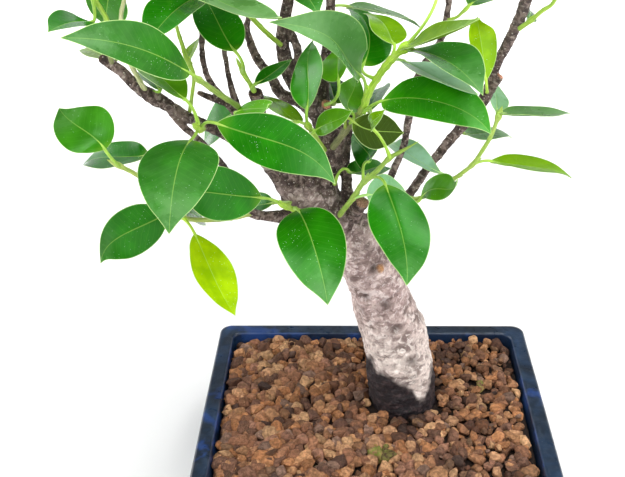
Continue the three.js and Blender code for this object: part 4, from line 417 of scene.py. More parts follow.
  ['crown_04', 'crown_04', [-69.9,21.7,329.4], [-80.5,25.3,331.4], [-92.7,31.2,336], [-105.6,36,338.5], [-119.8,38.7,337.3], [0.28,0.46,0.84], 26.1, 14, 'bright'],
  ['crown_04', 'crown_04', [-72.3,27.5,334.3], [-67.8,27.4,344.6], [-63.5,28,357.1], [-58.4,28.1,369.2], [-51.6,27,380.5], [-0.78,0.51,0.36], 24.7, 7, 'mid'],
  ['crown_04', 'crown_04', [-74.1,31.8,337.9], [-77.4,37.6,332.4], [-82.4,46.3,324.8], [-87,54.3,316.5], [-90.8,61.4,306.8], [-0.42,0.55,0.73], 21.8, 11, 'dark'],
  ['crown_04', 'crown_04', [-74.9,33.8,339.6], [-81.7,31.1,349], [-87.1,30.9,359.8], [-93.5,28.7,369.3], [-101.6,23.1,376.6], [0.38,0.78,0.5], 22.3, 8, 'bright'],
  ['crown_04', 'crown_04', [-77.4,39.8,345.4], [-73.4,45.2,350.1], [-69.4,51.4,356.8], [-64.7,57.7,362.8], [-59,64.4,367.6], [-0.64,-0.19,0.74], 17.0, 8, 'olive'],
  ['crown_04', 'crown_04', [-78.5,42.4,347.9], [-82.3,47.7,350.8], [-87.6,56.7,359.1], [-94.2,66.2,364.6], [-103.1,76.4,365.4], [0.44,-0.13,0.89], 24.0, 16, 'olive'],
  ['crown_05', 'crown_05', [-3.8,70.9,346.1], [1.6,75.6,344.1], [9.7,83.2,340.2], [17.7,90.4,335.4], [25.6,96.8,329.2], [0.12,0.47,0.87], 20.1, 10, 'mid'],
  ['crown_05', 'crown_05', [-3.2,76.2,348.3], [-10.7,80.7,348.4], [-22.6,89.5,348], [-34.6,97.1,344.9], [-46.5,102.2,337.2], [0,0.46,0.89], 24.1, 14, 'green'],
  ['crown_05', 'crown_05', [-2.7,79,350.1], [3.7,78,354.5], [15.6,77.2,365.1], [28.1,75.4,374.8], [41.6,71.8,382.7], [-0.38,0.66,0.65], 27.0, 10, 'dark'],
  ['crown_05', 'crown_05', [-2.3,81.1,351.4], [2.7,81.4,359.7], [9,84.4,370.6], [16.6,85.4,380.5], [26.7,82.8,388.4], [-0.52,0.76,0.4], 23.7, 11, 'green'],
  ['crown_05', 'crown_05', [-2,82.7,352.5], [-5.7,85.3,359.3], [-8.5,90.3,371.3], [-13.7,94.7,382.2], [-23.3,98,391.2], [0.89,0.23,0.4], 23.3, 11, 'green'],
  ['crown_05', 'crown_05', [-1.5,85.5,354.5], [6.7,87.9,356.8], [15.5,91.2,360.1], [24.6,93.9,361.6], [34.4,95.7,360.2], [-0.2,0.31,0.93], 15.9, 9, 'green'],
  ['crown_06', 'crown_06', [36.3,17.7,334.9], [40.9,22.9,336.8], [48.9,31.2,340.4], [56.7,39.8,342.7], [64.5,49.1,342.8], [0.05,-0.27,0.96], 19.3, 8, 'mid'],
  ['crown_06', 'crown_06', [36.3,17.4,338.9], [25.8,15,343.9], [12.5,11.6,352.6], [-1.4,8.3,360], [-16.6,5.3,365], [0.46,-0.12,0.88], 26.1, 7, 'green'],
  ['crown_06', 'crown_06', [37.4,16.4,345.5], [46.4,12.3,347.9], [60.5,6,351.1], [74.2,-0.3,350.6], [87.4,-6.4,343.8], [0.09,-0.02,1], 25.4, 13, 'mid'],
  ['crown_06', 'crown_06', [38.2,15.7,350.1], [36.2,22.5,357.9], [34.3,29.9,367.5], [31.9,38.5,375.4], [28.5,49.4,380.2], [0.24,-0.58,0.78], 20.2, 10, 'dark'],
  ['crown_06', 'crown_06', [38.8,15.2,354], [36,6.5,359], [31.9,-5.7,367.9], [27.7,-19,374.6], [23.3,-33.9,377.5], [0.04,0.4,0.91], 26.1, 11, 'dark'],
  ['crown_06', 'crown_06', [39.3,14.7,357], [42.8,23.4,363.6], [46.6,31.7,369.4], [50.3,40.6,373.8], [53.9,50.8,375.7], [0.08,-0.43,0.9], 19.9, 14, 'green'],
  ['crown_06', 'crown_06', [39.7,14.3,359.9], [40.4,9.5,366.2], [41.1,0.7,375.9], [42.3,-9,384.3], [44.5,-20.4,390.5], [-0.32,0.57,0.76], 24.6, 14, 'green'],
  ['crown_07', 'crown_07', [85.8,21.7,333.7], [84.7,16.2,339.9], [83.8,6.9,348.2], [82.1,-3.1,355.3], [79,-14.3,360.1], [0.48,0.42,0.77], 23.2, 16, 'bright'],
  ['crown_07', 'crown_07', [90.9,21.5,337.7], [97.7,25.6,331.8], [108,31.8,326.6], [117.3,37.4,319.6], [124.8,42,309.7], [0.5,0.28,0.82], 23.4, 7, 'bright'],
  ['crown_07', 'crown_07', [94.7,21.2,340], [95.1,25.9,348.7], [96.2,31.5,361.3], [96.7,38.1,373.4], [96.4,46.6,384.5], [0.39,-0.8,0.45], 24.4, 8, 'green'],
  ['crown_07', 'crown_07', [101.3,20.7,344.1], [103.4,11.6,349], [106.6,1.5,359.2], [109.4,-10.2,366.9], [111.4,-24.6,370.4], [0.16,0.53,0.83], 24.4, 8, 'mid'],
  ['crown_07', 'crown_07', [103.3,20.6,345.4], [110,24.1,343.7], [122.9,29.4,343], [134.4,35.1,339.3], [143.5,41.4,330.4], [0.41,-0.1,0.91], 23.8, 10, 'bright'],
  ['crown_07', 'crown_07', [109,20.1,349.3], [110.2,16.8,357.9], [113.6,14,369.3], [115.8,8.9,379.7], [116,-0.2,388.2], [0.42,0.82,0.38], 21.2, 7, 'green'],
  ['crown_07', 'crown_07', [111,20,350.6], [118.9,16.5,352.2], [129.6,12.2,355.8], [140.3,7.6,357], [151,2.4,354.2], [-0.01,0.12,0.99], 20.4, 8, 'bright'],
  ['crown_08', 'crown_08', [99.6,58.1,338.7], [102.6,67.9,335], [107.6,81.5,330], [111.6,94.2,322.9], [113.8,105.2,312.2], [0.42,0.38,0.83], 28.8, 11, 'bright'],
  ['crown_08', 'crown_08', [100.7,60.3,340.1], [95.3,64,345.8], [89.5,69.9,355.9], [81.7,75.6,363.8], [70.3,81.1,367.7], [0.68,0.05,0.73], 20.6, 8, 'dark'],
  ['crown_08', 'crown_08', [101.6,61.9,341.3], [106.5,58.5,347], [115.2,54.6,358.6], [124.4,48.5,368.2], [134.6,38.7,374], [-0.18,0.7,0.69], 27.3, 16, 'olive'],
  ['crown_08', 'crown_08', [102.4,63.3,342.3], [101.9,72.2,339.9], [102.3,85.1,336.5], [101.9,96.7,330.9], [99.9,105.9,321.2], [0.31,0.48,0.82], 21.3, 14, 'green'],
  ['crown_08', 'crown_08', [104,66,344.4], [101.9,63.8,354.5], [100.9,62.9,368.3], [98,59.9,381], [91.5,53.2,391.6], [0.64,0.67,0.37], 24.7, 12, 'green'],
  ['crown_08', 'crown_08', [104.7,67.2,345.5], [109.9,69.4,341.1], [120.2,75.1,335.5], [129.4,79.4,328.1], [136.8,81.4,317.3], [0.42,0.53,0.74], 22.9, 8, 'olive'],
  ['crown_08', 'crown_08', [106,69.3,347.3], [106.5,76.7,350.9], [107.1,85.2,356.5], [107.6,94.4,360.4], [108.2,104.7,361.4], [0.01,-0.35,0.94], 18.0, 15, 'green'],
]

# ---------------------------------------------------------------- light, and the stems' colours
WORLD = (0.25, 1.0)
LIGHTS = [
    ("strip", (0.22, -0.13, 1.30), (0.02, 0, 0.25), (1.3, 0.12), 11),
    ("front", (0.15, -1.15, 1.25), (0, 0, 0.18), (2.2, 1.3), 17),
    ("left", (-1.20, -0.45, 0.75), (0, 0, 0.20), (1.0, 1.0), 9),
    ("right", (1.20, -0.35, 0.75), (0, 0, 0.18), (1.0, 1.0), 9),
    ("window", (-1.05, 0.62, 0.70), (0, 0, 0.24), (0.5, 0.7), 5),
    ("table_back", (0.0, 1.35, 1.60), (0, 1.35, 0), (3.6, 1.2), 26, 60),
    ("table_front", (0.0, -1.55, 1.60), (0, -1.55, 0), (3.6, 1.0), 18, 60),
    ("table_left", (-1.60, 0.0, 1.60), (-1.60, 0, 0), (1.1, 2.6), 19, 60),
    ("table_right", (1.60, 0.0, 1.60), (1.60, 0, 0), (1.1, 2.6), 19, 60),
]
STEM_TONE = {"shoot_main": "#a3cb3c", "shoot_right": "#93b04a", "shoot_mid": "#8fb048", "shoot_low": "#a3b45c", "shoot_upleft": "#8ea653", "shoot_l2": "#b4b78a"}
BROWN = {"shoot_main": 1.7, "shoot_l1": 0.7, "shoot_mid": 0.3, "shoot_right": 0.2, "shoot_upleft": 0.5, "shoot_l2": 0.1}
# Young leaves, shaded leaves darkened as painted shade, and leaves paled as painted sheen, whose colour stands apart
# from the rest, by node and place on it.
RETONE = {("leaf_22", 0): "fresh", ("shoot_l1", 0): "straw", ("shoot_upleft", 0): "fresh", ("shoot_c", 0): "spring", ("leaf_30", 0): "deep",
          ("shoot_right", 3): "frost", ("leaf_25", 0): "frost", ("leaf_12", 0): "fresh", ("leaf_11", 0): "grass", ("leaf_14", 0): "grass", ("leaf_16", 0): "mid", ("leaf_09", 0): "haze", ("shoot_c", 1): "fresh", ("leaf_10", 0): "paleblue", ("leaf_21", 0): "green", ("leaf_17", 0): "green", ("shoot_right", 0): "paleblue",
          ("shoot_right", 1): "bright", ("shoot_mid", 0): "limeg", ("leaf_05", 0): "spring", ("leaf_08", 0): "spring", ("shoot_main", 1): "dark"}


# ---------------------------------------------------------------- leaves
STALK_R = 0.8
ACROSS = (0.24, 0.42, 0.6, 0.78, 0.91, 1.0)


def outline(t):
    w = np.maximum(0, np.sin(math.pi * np.maximum(t, 1e-6) ** (math.log(0.5) / math.log(0.41)))) ** 0.82
    k = np.clip((t - 0.78) / 0.22, 0, 1)
    return w * (1 - 0.32 * k * k * (3 - 2 * k))


# name: colour, and how much pale film lies on it: partly waxy bloom, partly painted sheen of reflected light; the
# paleblue and frost colours are themselves paled as painted sheen
TONES = {
    "green": ("#186c00", 0.02), "dark": ("#1b7002", 0.02), "haze": ("#20680c", 0.2), "mid": ("#2a7206", 0.04), "bright": ("#478a05", 0.03),
    "lime": ("#9dc702", 0.0), "limeg": ("#6e9c06", 0.0), "pale": ("#437a32", 0.5), "paleblue": ("#7fae94", 0.85), "blue": ("#437c52", 0.6),
    # The under colour is darkened as painted shade, for an underside that lies in shade.
    "olive": ("#6b9010", 0.02), "under": ("#2a4300", 0.0), "gloss": ("#328a08", 0.04), "crown": ("#24700a", 0.06),
    "fresh": ("#579814", 0.0), "straw": ("#8e9f60", 0.4), "deep": ("#0c4203", 0.0), "frost": ("#88bb98", 0.8), "spring": ("#7fae06", 0.0), "grass": ("#2b8500", 0.02),
}


def add_leaf(skin, row, seed, mats, fine=True):
    """One blade with its stalk. mats are the numbers of the upper, lower and stalk materials."""
    P, B, C1, C2, T, N0 = (np.array(q, float) for q in row[2:8])
    width, fold, tone = row[8], math.radians(row[9]), row[10]
    top_mat = mats[3] if tone == "gloss" else mats[0]
    r = np.random.RandomState(seed)
    n = 30 if fine else 20
    lin = np.linspace(0, 1, n + 1)
    t = (0.55 * lin + 0.45 * (1 - np.cos(math.pi * lin)) / 2)
    u = 1 - t
    M = u[:, None] ** 3 * B + 3 * (u * u * t)[:, None] * C1 + 3 * (u * t * t)[:, None] * C2 + t[:, None] ** 3 * T
    D = unit(3 * (u * u)[:, None] * (C1 - B) + 6 * (u * t)[:, None] * (C2 - C1) + 3 * (t * t)[:, None] * (T - C2))
    N = unit(N0 - D * (D @ N0)[:, None])
    W = np.cross(D, N)
    h = np.maximum(outline(t) * width / 2, np.where(t < 0.5, STALK_R * np.clip(1 - t * 6, 0.2, 1), 0.12))
    fo = fold * np.minimum(1, t / 0.15)
    m1, m2 = np.minimum(0.07, 0.3 / h), np.minimum(0.15, 0.85 / h)
    cols = [-np.full(n + 1, a) for a in ACROSS[::-1]] + [-m2, -m1, 0 * m1, m1, m2] + [np.full(n + 1, a) for a in ACROSS]
    S = np.array(cols).T
    k = S.shape[1]
    A = np.abs(S)
    arc = np.concatenate([[0], np.cumsum(np.linalg.norm(np.diff(M, axis=0), axis=1))])
    # A soft V across the blade, a slow wave along each margin, and a slight quilting between the side veins.
    g = 0.42 * A + 0.58 * A ** 1.9
    ph = r.uniform(0, 6.28, 4)
    amp = r.uniform(0.012, 0.026) * width
    wave = amp * A ** 2.2 * np.where(S > 0, np.sin(2 * math.pi * 1.6 * t + ph[0])[:, None], np.sin(2 * math.pi * 1.4 * t + ph[1])[:, None])
    wave *= (np.sin(math.pi * np.clip(t, 0, 1)) ** 0.7)[:, None]
    quilt = 0.1 * np.sin(2 * math.pi * (arc[:, None] - 0.55 * A * h[:, None]) / 3.6) * np.sin(math.pi * np.clip(A, 0, 1)) * np.minimum(1, h / 6)[:, None]
    groove = np.zeros_like(S)
    groove[:, 8] = -0.22
    groove[:, (7, 9)] = -0.12
    up = h[:, None] * (np.sin(fo)[:, None] * g) + wave + quilt + groove * (1 - 0.8 * t)[:, None]
    top = M[:, None] + (S * (h * np.cos(fo))[:, None])[..., None] * W[:, None] + up[..., None] * N[:, None]
    th = 0.5 * (1 - 0.62 * A ** 2) * (1 - 0.35 * t)[:, None]
    rib = np.zeros_like(S)
    rib[:, 8] = 0.62
    rib[:, (7, 9)] = 0.42
    rib[:, (6, 10)] = 0.05
    th = th + rib * (1 - 0.8 * t)[:, None]
    low = top - th[..., None] * N[:, None]
    m = (n + 1) * k
    V = np.vstack([top.reshape(-1, 3), low.reshape(-1, 3)])
    F, mi = [], []
    for i in range(n):
        for j in range(k - 1):
            a = i * k + j
            F.append((a, a + 1, a + k + 1, a + k))
            F.append((m + a, m + a + k, m + a + k + 1, m + a + 1))
            mi += [top_mat, mats[1]]
        a, b = i * k, i * k + k - 1
        F += [(a, a + k, m + a + k, m + a), (b, m + b, m + b + k, b + k)]
        mi += [top_mat, top_mat]
    for j in range(k - 1):
        F += [(j, m + j, m + j + 1, j + 1), (n * k + j, n * k + j + 1, m + n * k + j + 1, m + n * k + j)]
        mi += [mats[1], mats[1]]
    lf = np.stack([S, np.repeat(t[:, None], k, 1), np.repeat(h[:, None], k, 1)], -1).reshape(-1, 3)
    uvw = np.stack([S * h[:, None], np.repeat(arc[:, None], k, 1), np.full_like(S, seed * 13.7)], -1).reshape(-1, 3)
    hexc, haze = TONES[tone]
    base = np.array(srgb(hexc)) * r.uniform(0.9, 1.1) * np.array([r.uniform(0.88, 1.12), 1, r.uniform(0.85, 1.15)])
    col = np.append(base, haze)
    skin.add(V, F, mi, col, np.vstack([lf, lf]), np.vstack([uvw, uvw]))
    # The stalk, swollen where it leaves its shoot, running on under the blade as the midrib.
    K = B - unit(C1 - B) * 0.45 * np.linalg.norm(B - P)
    q = np.linspace(0, 1, 9)[:, None]
    S1 = (1 - q) ** 2 * P + 2 * q * (1 - q) * K + q * q * B
    j = [int(np.argmin(abs(arc - d))) for d in (1.6, 3.2, 5.5)]
    S2 = np.array([M[i] - N[i] * 0.42 for i in j])
    path = np.vstack([S1, S2])
    rad = np.concatenate([STALK_R * np.interp(q[:, 0], [0, 0.12, 0.3, 0.85, 1], [1.5, 1.25, 0.95, 0.95, 1.05]), [0.72, 0.55, 0.3]])
    sv, sf, su = tube(path, rad, 9)
    young = (np.array(srgb("#a9c653")) * 0.75 + base * 0.6)
    skin.add(sv, sf, mats[2], np.append(young, 0.0), None, su)


def leaf_material(name, under=False, gloss=False):
    g = Mat(name)
    tone, lf, uvw = g.attr("tone"), g.attr("lf").outputs["Vector"], g.attr("uvw").outputs["Vector"]
    s, t, h = g.split(lf)
    base, haze = tone.outputs["Color"], tone.outputs["Alpha"]
    a = g.math("ABSOLUTE", s)
    mm = g.math("MULTIPLY", a, h)                                   # distance from the midrib
    edge = g.math("MULTIPLY", g.math("SUBTRACT", 1.0, a), h)        # distance from the margin
    along = g.split(uvw)[1]
    big = g.noise(uvw, 0.07, 3.0)
    mid = g.noise(uvw, 0.35, 3.0)
    fine = g.noise(uvw, 2.4, 2.0)
    # Side veins leave the midrib forwards, close together, and fade towards the margin.
    warp = g.math("MULTIPLY_ADD", g.noise(uvw, 0.16, 2.0), 2.2, g.math("MULTIPLY_ADD", mm, -0.62, along))
    fr = g.math("ABSOLUTE", g.math("SUBTRACT", g.math("FRACT", g.math("DIVIDE", warp, 3.4)), 0.5))
    vein = g.step(fr, 0.06, 0.0)
    fr2 = g.math("ABSOLUTE", g.math("SUBTRACT", g.math("FRACT", g.math("MULTIPLY_ADD", warp, 1 / 1.13, 0.3)), 0.5))
    vein2 = g.math("MULTIPLY", g.step(fr2, 0.14, 0.0), 0.4)
    veins = g.math("MULTIPLY", g.math("MAXIMUM", vein, vein2), g.step(edge, 0.0, 2.2))
    ribw = g.math("MULTIPLY_ADD", t, -0.26, 0.38)
    rib = g.step(g.math("DIVIDE", mm, ribw), 1.25, 0.55)
    dark = g.mix(1.0, base, (0.72, 0.78, 0.62), "MULTIPLY")
    light = g.mix(1.0, base, (1.15, 1.08, 1.05), "MULTIPLY")
    col = g.mix(g.step(big, 0.36, 0.66), dark, light)
    col = g.mix(g.math("MULTIPLY", g.step(mid, 0.42, 0.7), 0.25), col, dark)
    col = g.mix(g.math("MULTIPLY", veins, 0.16 if under else 0.09), col, (0.2, 0.52, 0.06))
    if under:
        col = g.mix(0.42, col, g.mix(1.0, base, (1.25, 1.12, 1.5), "MULTIPLY"))
    # The young yellow-green runs from the stalk into the blade.
    col = g.mix(g.step(t, 0.12, 0.0, 0.0, 0.2), col, (0.3, 0.5, 0.03))
    col = g.mix(g.math("MULTIPLY", rib, 0.6 if under else 0.36), col, (0.36, 0.56, 0.1))
    cloud = g.step(g.noise(uvw, 0.09, 4.0, 0.6), 0.3, 0.62, 0.35, 1.0)
    # The pale film is thicker towards the tip: partly waxy bloom, partly painted sheen where the tips curve down and
    # catch the light.
    has_haze = g.step(haze, 0.0, 0.02)
    painted_tip_sheen = g.math("MULTIPLY", g.step(g.math("MULTIPLY_ADD", big, 0.3, g.math("MULTIPLY_ADD", a, -0.1, t)), 0.62, 1.1, 0.0, 0.42), has_haze)
    wax_and_sheen = g.math("MULTIPLY", cloud, g.math("ADD", g.math("MULTIPLY", haze, g.step(t, 0.1, 0.9, 0.45, 1.1)), painted_tip_sheen))
    if not under:
        # Pale film mixed into the colour: waxy bloom and painted sheen.
        col = g.mix(g.math("MULTIPLY", wax_and_sheen, 0.56, clamp=True), col, (0.25, 0.44, 0.2))
        dot = g.step(g.cells(uvw, 0.72), 0.13, 0.06)
        where = g.step(g.noise(uvw, 0.11, 3.0), 0.44, 0.62)
        spot = g.math("MULTIPLY", dot, where)
        col = g.mix(g.math("MULTIPLY", spot, 0.62), col, (0.7, 0.82, 0.7))
    col = g.mix(g.step(edge, 0.42, 0.1, 0.0, 0.8), col, (0.5, 0.68, 0.26))
    height = g.math("MULTIPLY_ADD", veins, 0.5 if under else -0.22, g.math("MULTIPLY", fine, 0.22))
    height = g.math("MULTIPLY_ADD", mid, 0.6, height)
    nrm = g.bump(height, 0.32, 0.00016)
    if under:
        rough = g.math("MULTIPLY_ADD", mid, 0.16, 0.46)
        return g.done(col, rough, nrm, Specular_IOR_Level=0.14, Specular_Tint=(0.8, 1.0, 0.5, 1.0))
    rough = g.math("MULTIPLY_ADD", wax_and_sheen, 0.16, g.math("MULTIPLY_ADD", big, 0.12, 0.17))
    if gloss:
        return g.done(col, g.math("MULTIPLY_ADD", big, 0.1, 0.12), nrm, Specular_IOR_Level=0.35, Specular_Tint=(0.7, 1.0, 0.65, 1.0), Coat_Weight=0.12, Coat_Roughness=0.1)
    return g.done(col, rough, nrm, Specular_IOR_Level=0.22, Specular_Tint=(0.5, 1.0, 0.45, 1.0))


def stalk_material(name, colour2, brown):
    """Young green skin with fine lengthwise streaks, turning brown and corky where brown is above 0."""
    g = Mat(name)
    tone, uvw = g.attr("tone"), g.attr("uvw").outputs["Vector"]
    x, y, z = g.split(uvw)
    streak = g.noise(g.join(g.math("MULTIPLY", x, 2.2), g.math("MULTIPLY", y, 0.16), g.math("MULTIPLY", z, 2.2)), 1.0, 3.0)
    patch = g.noise(uvw, 0.22, 3.0)
    col = g.mix(g.step(streak, 0.35, 0.68), g.mix(1.0, tone.outputs["Color"], (0.72, 0.8, 0.6), "MULTIPLY"), g.mix(1.0, tone.outputs["Color"], (1.25, 1.15, 1.2), "MULTIPLY"))
    col = g.mix(g.step(patch, 0.5, 0.75, 0.0, 0.5), col, colour2)
    age = tone.outputs["Alpha"]
    bark = g.mix(g.step(streak, 0.3, 0.7), (0.09, 0.066, 0.042), (0.23, 0.19, 0.13))
    col = g.mix(g.math("MULTIPLY", g.step(g.math("ADD", age, g.math("MULTIPLY", patch, 0.5)), 0.45, 0.95), brown), col, bark)
    dots = g.step(g.cells(uvw, 0.75), 0.16, 0.08)
    col = g.mix(g.math("MULTIPLY", dots, 0.35), col, (0.5, 0.52, 0.3))
    nrm = g.bump(g.math("ADD", streak, dots), 0.35, 0.00018)
    return g.done(col, g.math("MULTIPLY_ADD", patch, 0.2, 0.36), nrm, Specular_IOR_Level=0.45)


# ---------------------------------------------------------------- trunk and limbs
def own_mesh(ob):
    """The object with its modifiers applied."""
    dg = bpy.context.evaluated_depsgraph_get()
    me = bpy.data.meshes.new_from_object(ob.evaluated_get(dg))
    old = ob.data
    ob.modifiers.clear()
    ob.data = me
    bpy.data.meshes.remove(old)
    return me


def noise_at(P, scale, seed=0.0):
    n, s = noise.noise, seed * 17.3
    return np.array([n((x + s, y - s, z + 0.5 * s)) for x, y, z in (P * scale).tolist()])


def ridged_at(P, scale, seed=0.0):
    return 1 - 2 * np.abs(noise_at(P, scale, seed))


# Places on the front of the trunk, in mm: old knots, and the pale cut beside one of them.
KNOTS = [((-0.9, -10.6, 170.1), 4.4, 1.9), ((-5.7, -9.5, 149.6), 3.0, 1.0), ((6.3, -9.8, 144.3), 5.0, 1.2), ((11.8, -10.0, 128.5), 4.4, 1.4),
         ((-9.0, -8.0, 139.0), 4.0, 1.1), ((22.0, -8.5, 104.0), 4.5, 1.3), ((30.0, 8, 125.0), 5.0, 1.5), ((2.0, 27.0, 112.0), 6.0, 1.8),
         ((-22.0, 15.0, 165.0), 5.0, 1.5), ((12.0, 24.0, 150.0), 4.5, 1.3)]
CUTS = [(4.2, -10.2, 168.7)]


def make_wood():
    V, F, n = [], [], 0
    for name, sides, rows in WOOD:
        big = max(q[3] for q in rows) > 8
        path = smooth_path(rows, 2.0)
        P, R = path[:, :3], path[:, 3] + (0.1 if big else 0.06)
        v, f, _ = tube(P, R, 28 if big else 14)
        V.append(v)
        F += [tuple(i + n for i in q) for q in f]
        n += len(v)
    me = bpy.data.meshes.new("wood")
    me.from_pydata((np.vstack(V) * MM).tolist(), [], F)
    ob = bpy.data.objects.new("trunk_wood", me)
    bpy.context.scene.collection.objects.link(ob)
    md = ob.modifiers.new("union", "REMESH")
    md.mode, md.voxel_size, md.adaptivity = "VOXEL", 0.85 * MM, 0
    md = ob.modifiers.new("even", "SMOOTH")
    md.factor, md.iterations = 0.5, 5
    me = own_mesh(ob)
    k = len(me.vertices)
    co = np.empty(k * 3, np.float32)
    me.vertices.foreach_get("co", co)
    co = co.reshape(-1, 3).astype(float) / MM
    nr = np.empty(k * 3, np.float32)
    me.vertices.foreach_get("normal", nr)
    nr = nr.reshape(-1, 3).astype(float)

    # Where each vertex is on its member: which one, how far along, the member's radius and the angle round it.
    A, B, RA, RB, SA, SB, ID, NN, BB = [], [], [], [], [], [], [], [], []
    for m, (name, sides, rows) in enumerate(WOOD):
        p = smooth_path(rows, 5.0)
        T, N, Bn = frames(p[:, :3])
        s = np.concatenate([[0], np.cumsum(np.linalg.norm(np.diff(p[:, :3], axis=0), axis=1))])
        for i in range(len(p) - 1):
            A.append(p[i, :3]); B.append(p[i + 1, :3]); RA.append(p[i, 3]); RB.append(p[i + 1, 3])
            SA.append(s[i]); SB.append(s[i + 1]); ID.append(m); NN.append(N[i]); BB.append(Bn[i])
    A, B, RA, RB, SA, SB, ID, NN, BB = (np.array(q) for q in (A, B, RA, RB, SA, SB, ID, NN, BB))
    AB = B - A
    LL = (AB * AB).sum(1)
    mem, arc, rad, ang = np.empty(k, int), np.empty(k), np.empty(k), np.empty(k)
    for o in range(0, k, 4000):
        q = co[o:o + 4000]
        t = np.clip((q @ AB.T - (A * AB).sum(1)) / LL, 0, 1)
        c = A[None] + t[..., None] * AB[None]
        d = np.linalg.norm(q[:, None] - c, axis=2)
        r = RA + (RB - RA) * t
        j = np.argmin(d - r, axis=1)
        i = np.arange(len(q))
        mem[o:o + 4000], rad[o:o + 4000] = ID[j], r[i, j]
        arc[o:o + 4000] = SA[j] + (SB - SA)[j] * t[i, j]
        w = q - c[i, j]
        ang[o:o + 4000] = np.arctan2((w * BB[j]).sum(1), (w * NN[j]).sum(1))
    trunk = np.clip((rad - 7.0) / 5.0, 0, 1)
    ring = np.column_stack([np.cos(ang) * rad, arc, np.sin(ang) * rad])      # unrolled round the member, in mm
    off = mem * 31.7
    d = np.zeros(k)
    # Large swellings and hollows, then flutes that run up the trunk.
    d += noise_at(co, 1 / 17, 1) * 0.085 * rad
    d += noise_at(ring * [1 / 9, 1 / 46, 1 / 9], 1, 2) * (0.07 * rad) * trunk
    # Wrinkles across the grain, finer and more broken higher up.
    wr = ridged_at((ring + noise_at(co, 1 / 9, 5)[:, None] * 2.0) * [1 / 15, 1 / 3.4, 1 / 15], 1, 3)
    wr2 = ridged_at(ring * [1 / 7, 1 / 1.9, 1 / 7] + off[:, None] * 0.01, 1, 4)
    d += (wr - 0.45) * (0.55 * trunk + 0.10 * (1 - trunk))
    thin = np.clip(rad / 3.2, 0.35, 1.0)
    d += (wr2 - 0.45) * (0.26 * trunk + 0.22 * thin * (1 - trunk))
    d += noise_at(co, 1 / 2.3, 6) * (0.34 * trunk + 0.34 * thin * (1 - trunk))
    d += noise_at(co, 1 / 5.5, 7) * (0.7 * trunk + 0.42 * thin * (1 - trunk))
    upper = np.clip((co[:, 2] - 160) / 25, 0, 1) * trunk
    d += (ridged_at(co * [1 / 4.5, 1 / 4.5, 1 / 8.0], 1, 21) - 0.4) * 0.75 * upper + noise_at(co, 1 / 8, 22) * 1.1 * upper
    # Leaf scars: rings with a raised lip on the thin limbs.
    gap = 8.5
    pos = (arc + off + 2.6 * np.sin(arc / 11.0 + mem * 2.2)) / gap
    scar = np.exp(-((pos - np.round(pos)) * gap / 0.75) ** 2) * (1 - trunk) * (arc > 3)
    d += scar * 0.2 * (0.5 + 0.5 * np.cos(ang + np.round(pos) * 2.5))
    knot = np.zeros(k)
    for c, r, depth in KNOTS:
        e = np.linalg.norm((co - np.array(c)) * [1, 0.8, 1.15], axis=1) / r
        d += -depth * np.exp(-(e / 0.72) ** 2) + 0.55 * depth * np.exp(-((e - 1.15) / 0.3) ** 2)
        knot = np.maximum(knot, np.exp(-(e / 0.85) ** 2))
    cut = np.zeros(k)
    face = np.tile(np.array(srgb("#c8935a")), (k, 1))
    for c in CUTS:
        e = np.linalg.norm(co - np.array(c), axis=1) / 2.5
        d += 1.5 * np.clip(1 - e ** 4, 0, 1)
        cut = np.maximum(cut, np.clip(1.5 - e, 0, 1))
    # Cut ends of limbs and stubs show bare wood.
    for name, sides, rows in WOOD:
        if name in CUT_ENDS:
            e = np.array(rows[-1][:3]); a = unit(e - np.array(rows[-2][:3]))
            x = (co - e) @ a
            rr = np.linalg.norm(co - e - x[:, None] * a, axis=1)
            here = np.clip((x + 0.35) / 0.4, 0, 1) * (rr < rows[-1][3] + 0.4)
            cut = np.maximum(cut, here)
            face[here > 0] = srgb(CUT_ENDS[name])
    co2 = co + nr * np.clip(d, -3, 3)[:, None]
    lim = co2[:, 2] < 52
    co2[lim] = co[lim]
    me.vertices.foreach_set("co", (co2 * MM).astype(np.float32).ravel())

    # Masks for the bark's colours.
    ax = np.interp(co[:, 2], [40, 57, 71, 102.6, 121.5, 139.7], [18, 18.5, 17.8, 14, 9, 3.7])
    xo = co[:, 0] - ax
    front = co[:, 1] < 8.5
    lvl = np.where(front, np.interp(xo, [-22, -14, -6, 2, 7, 10.5, 13.5, 16, 20], [101, 98, 93, 88, 84, 73, 72, 82, 92]), 88.0)
    lvl = lvl + noise_at(co, 1 / 9, 8) * 7 + noise_at(co, 1 / 3, 9) * 2.2
    wet = np.clip((lvl - co[:, 2]) / 6.0 + 0.5, 0, 1)
    darkwood = 1 - np.clip((rad - 5.5) / 9.0, 0, 1)
    darkwood = np.clip(darkwood + 0.42 * np.clip((co[:, 2] - 156) / 36, 0, 1) + noise_at(co, 1 / 11, 23) * 0.5 * np.clip((co[:, 2] - 140) / 30, 0, 1), 0, 1)
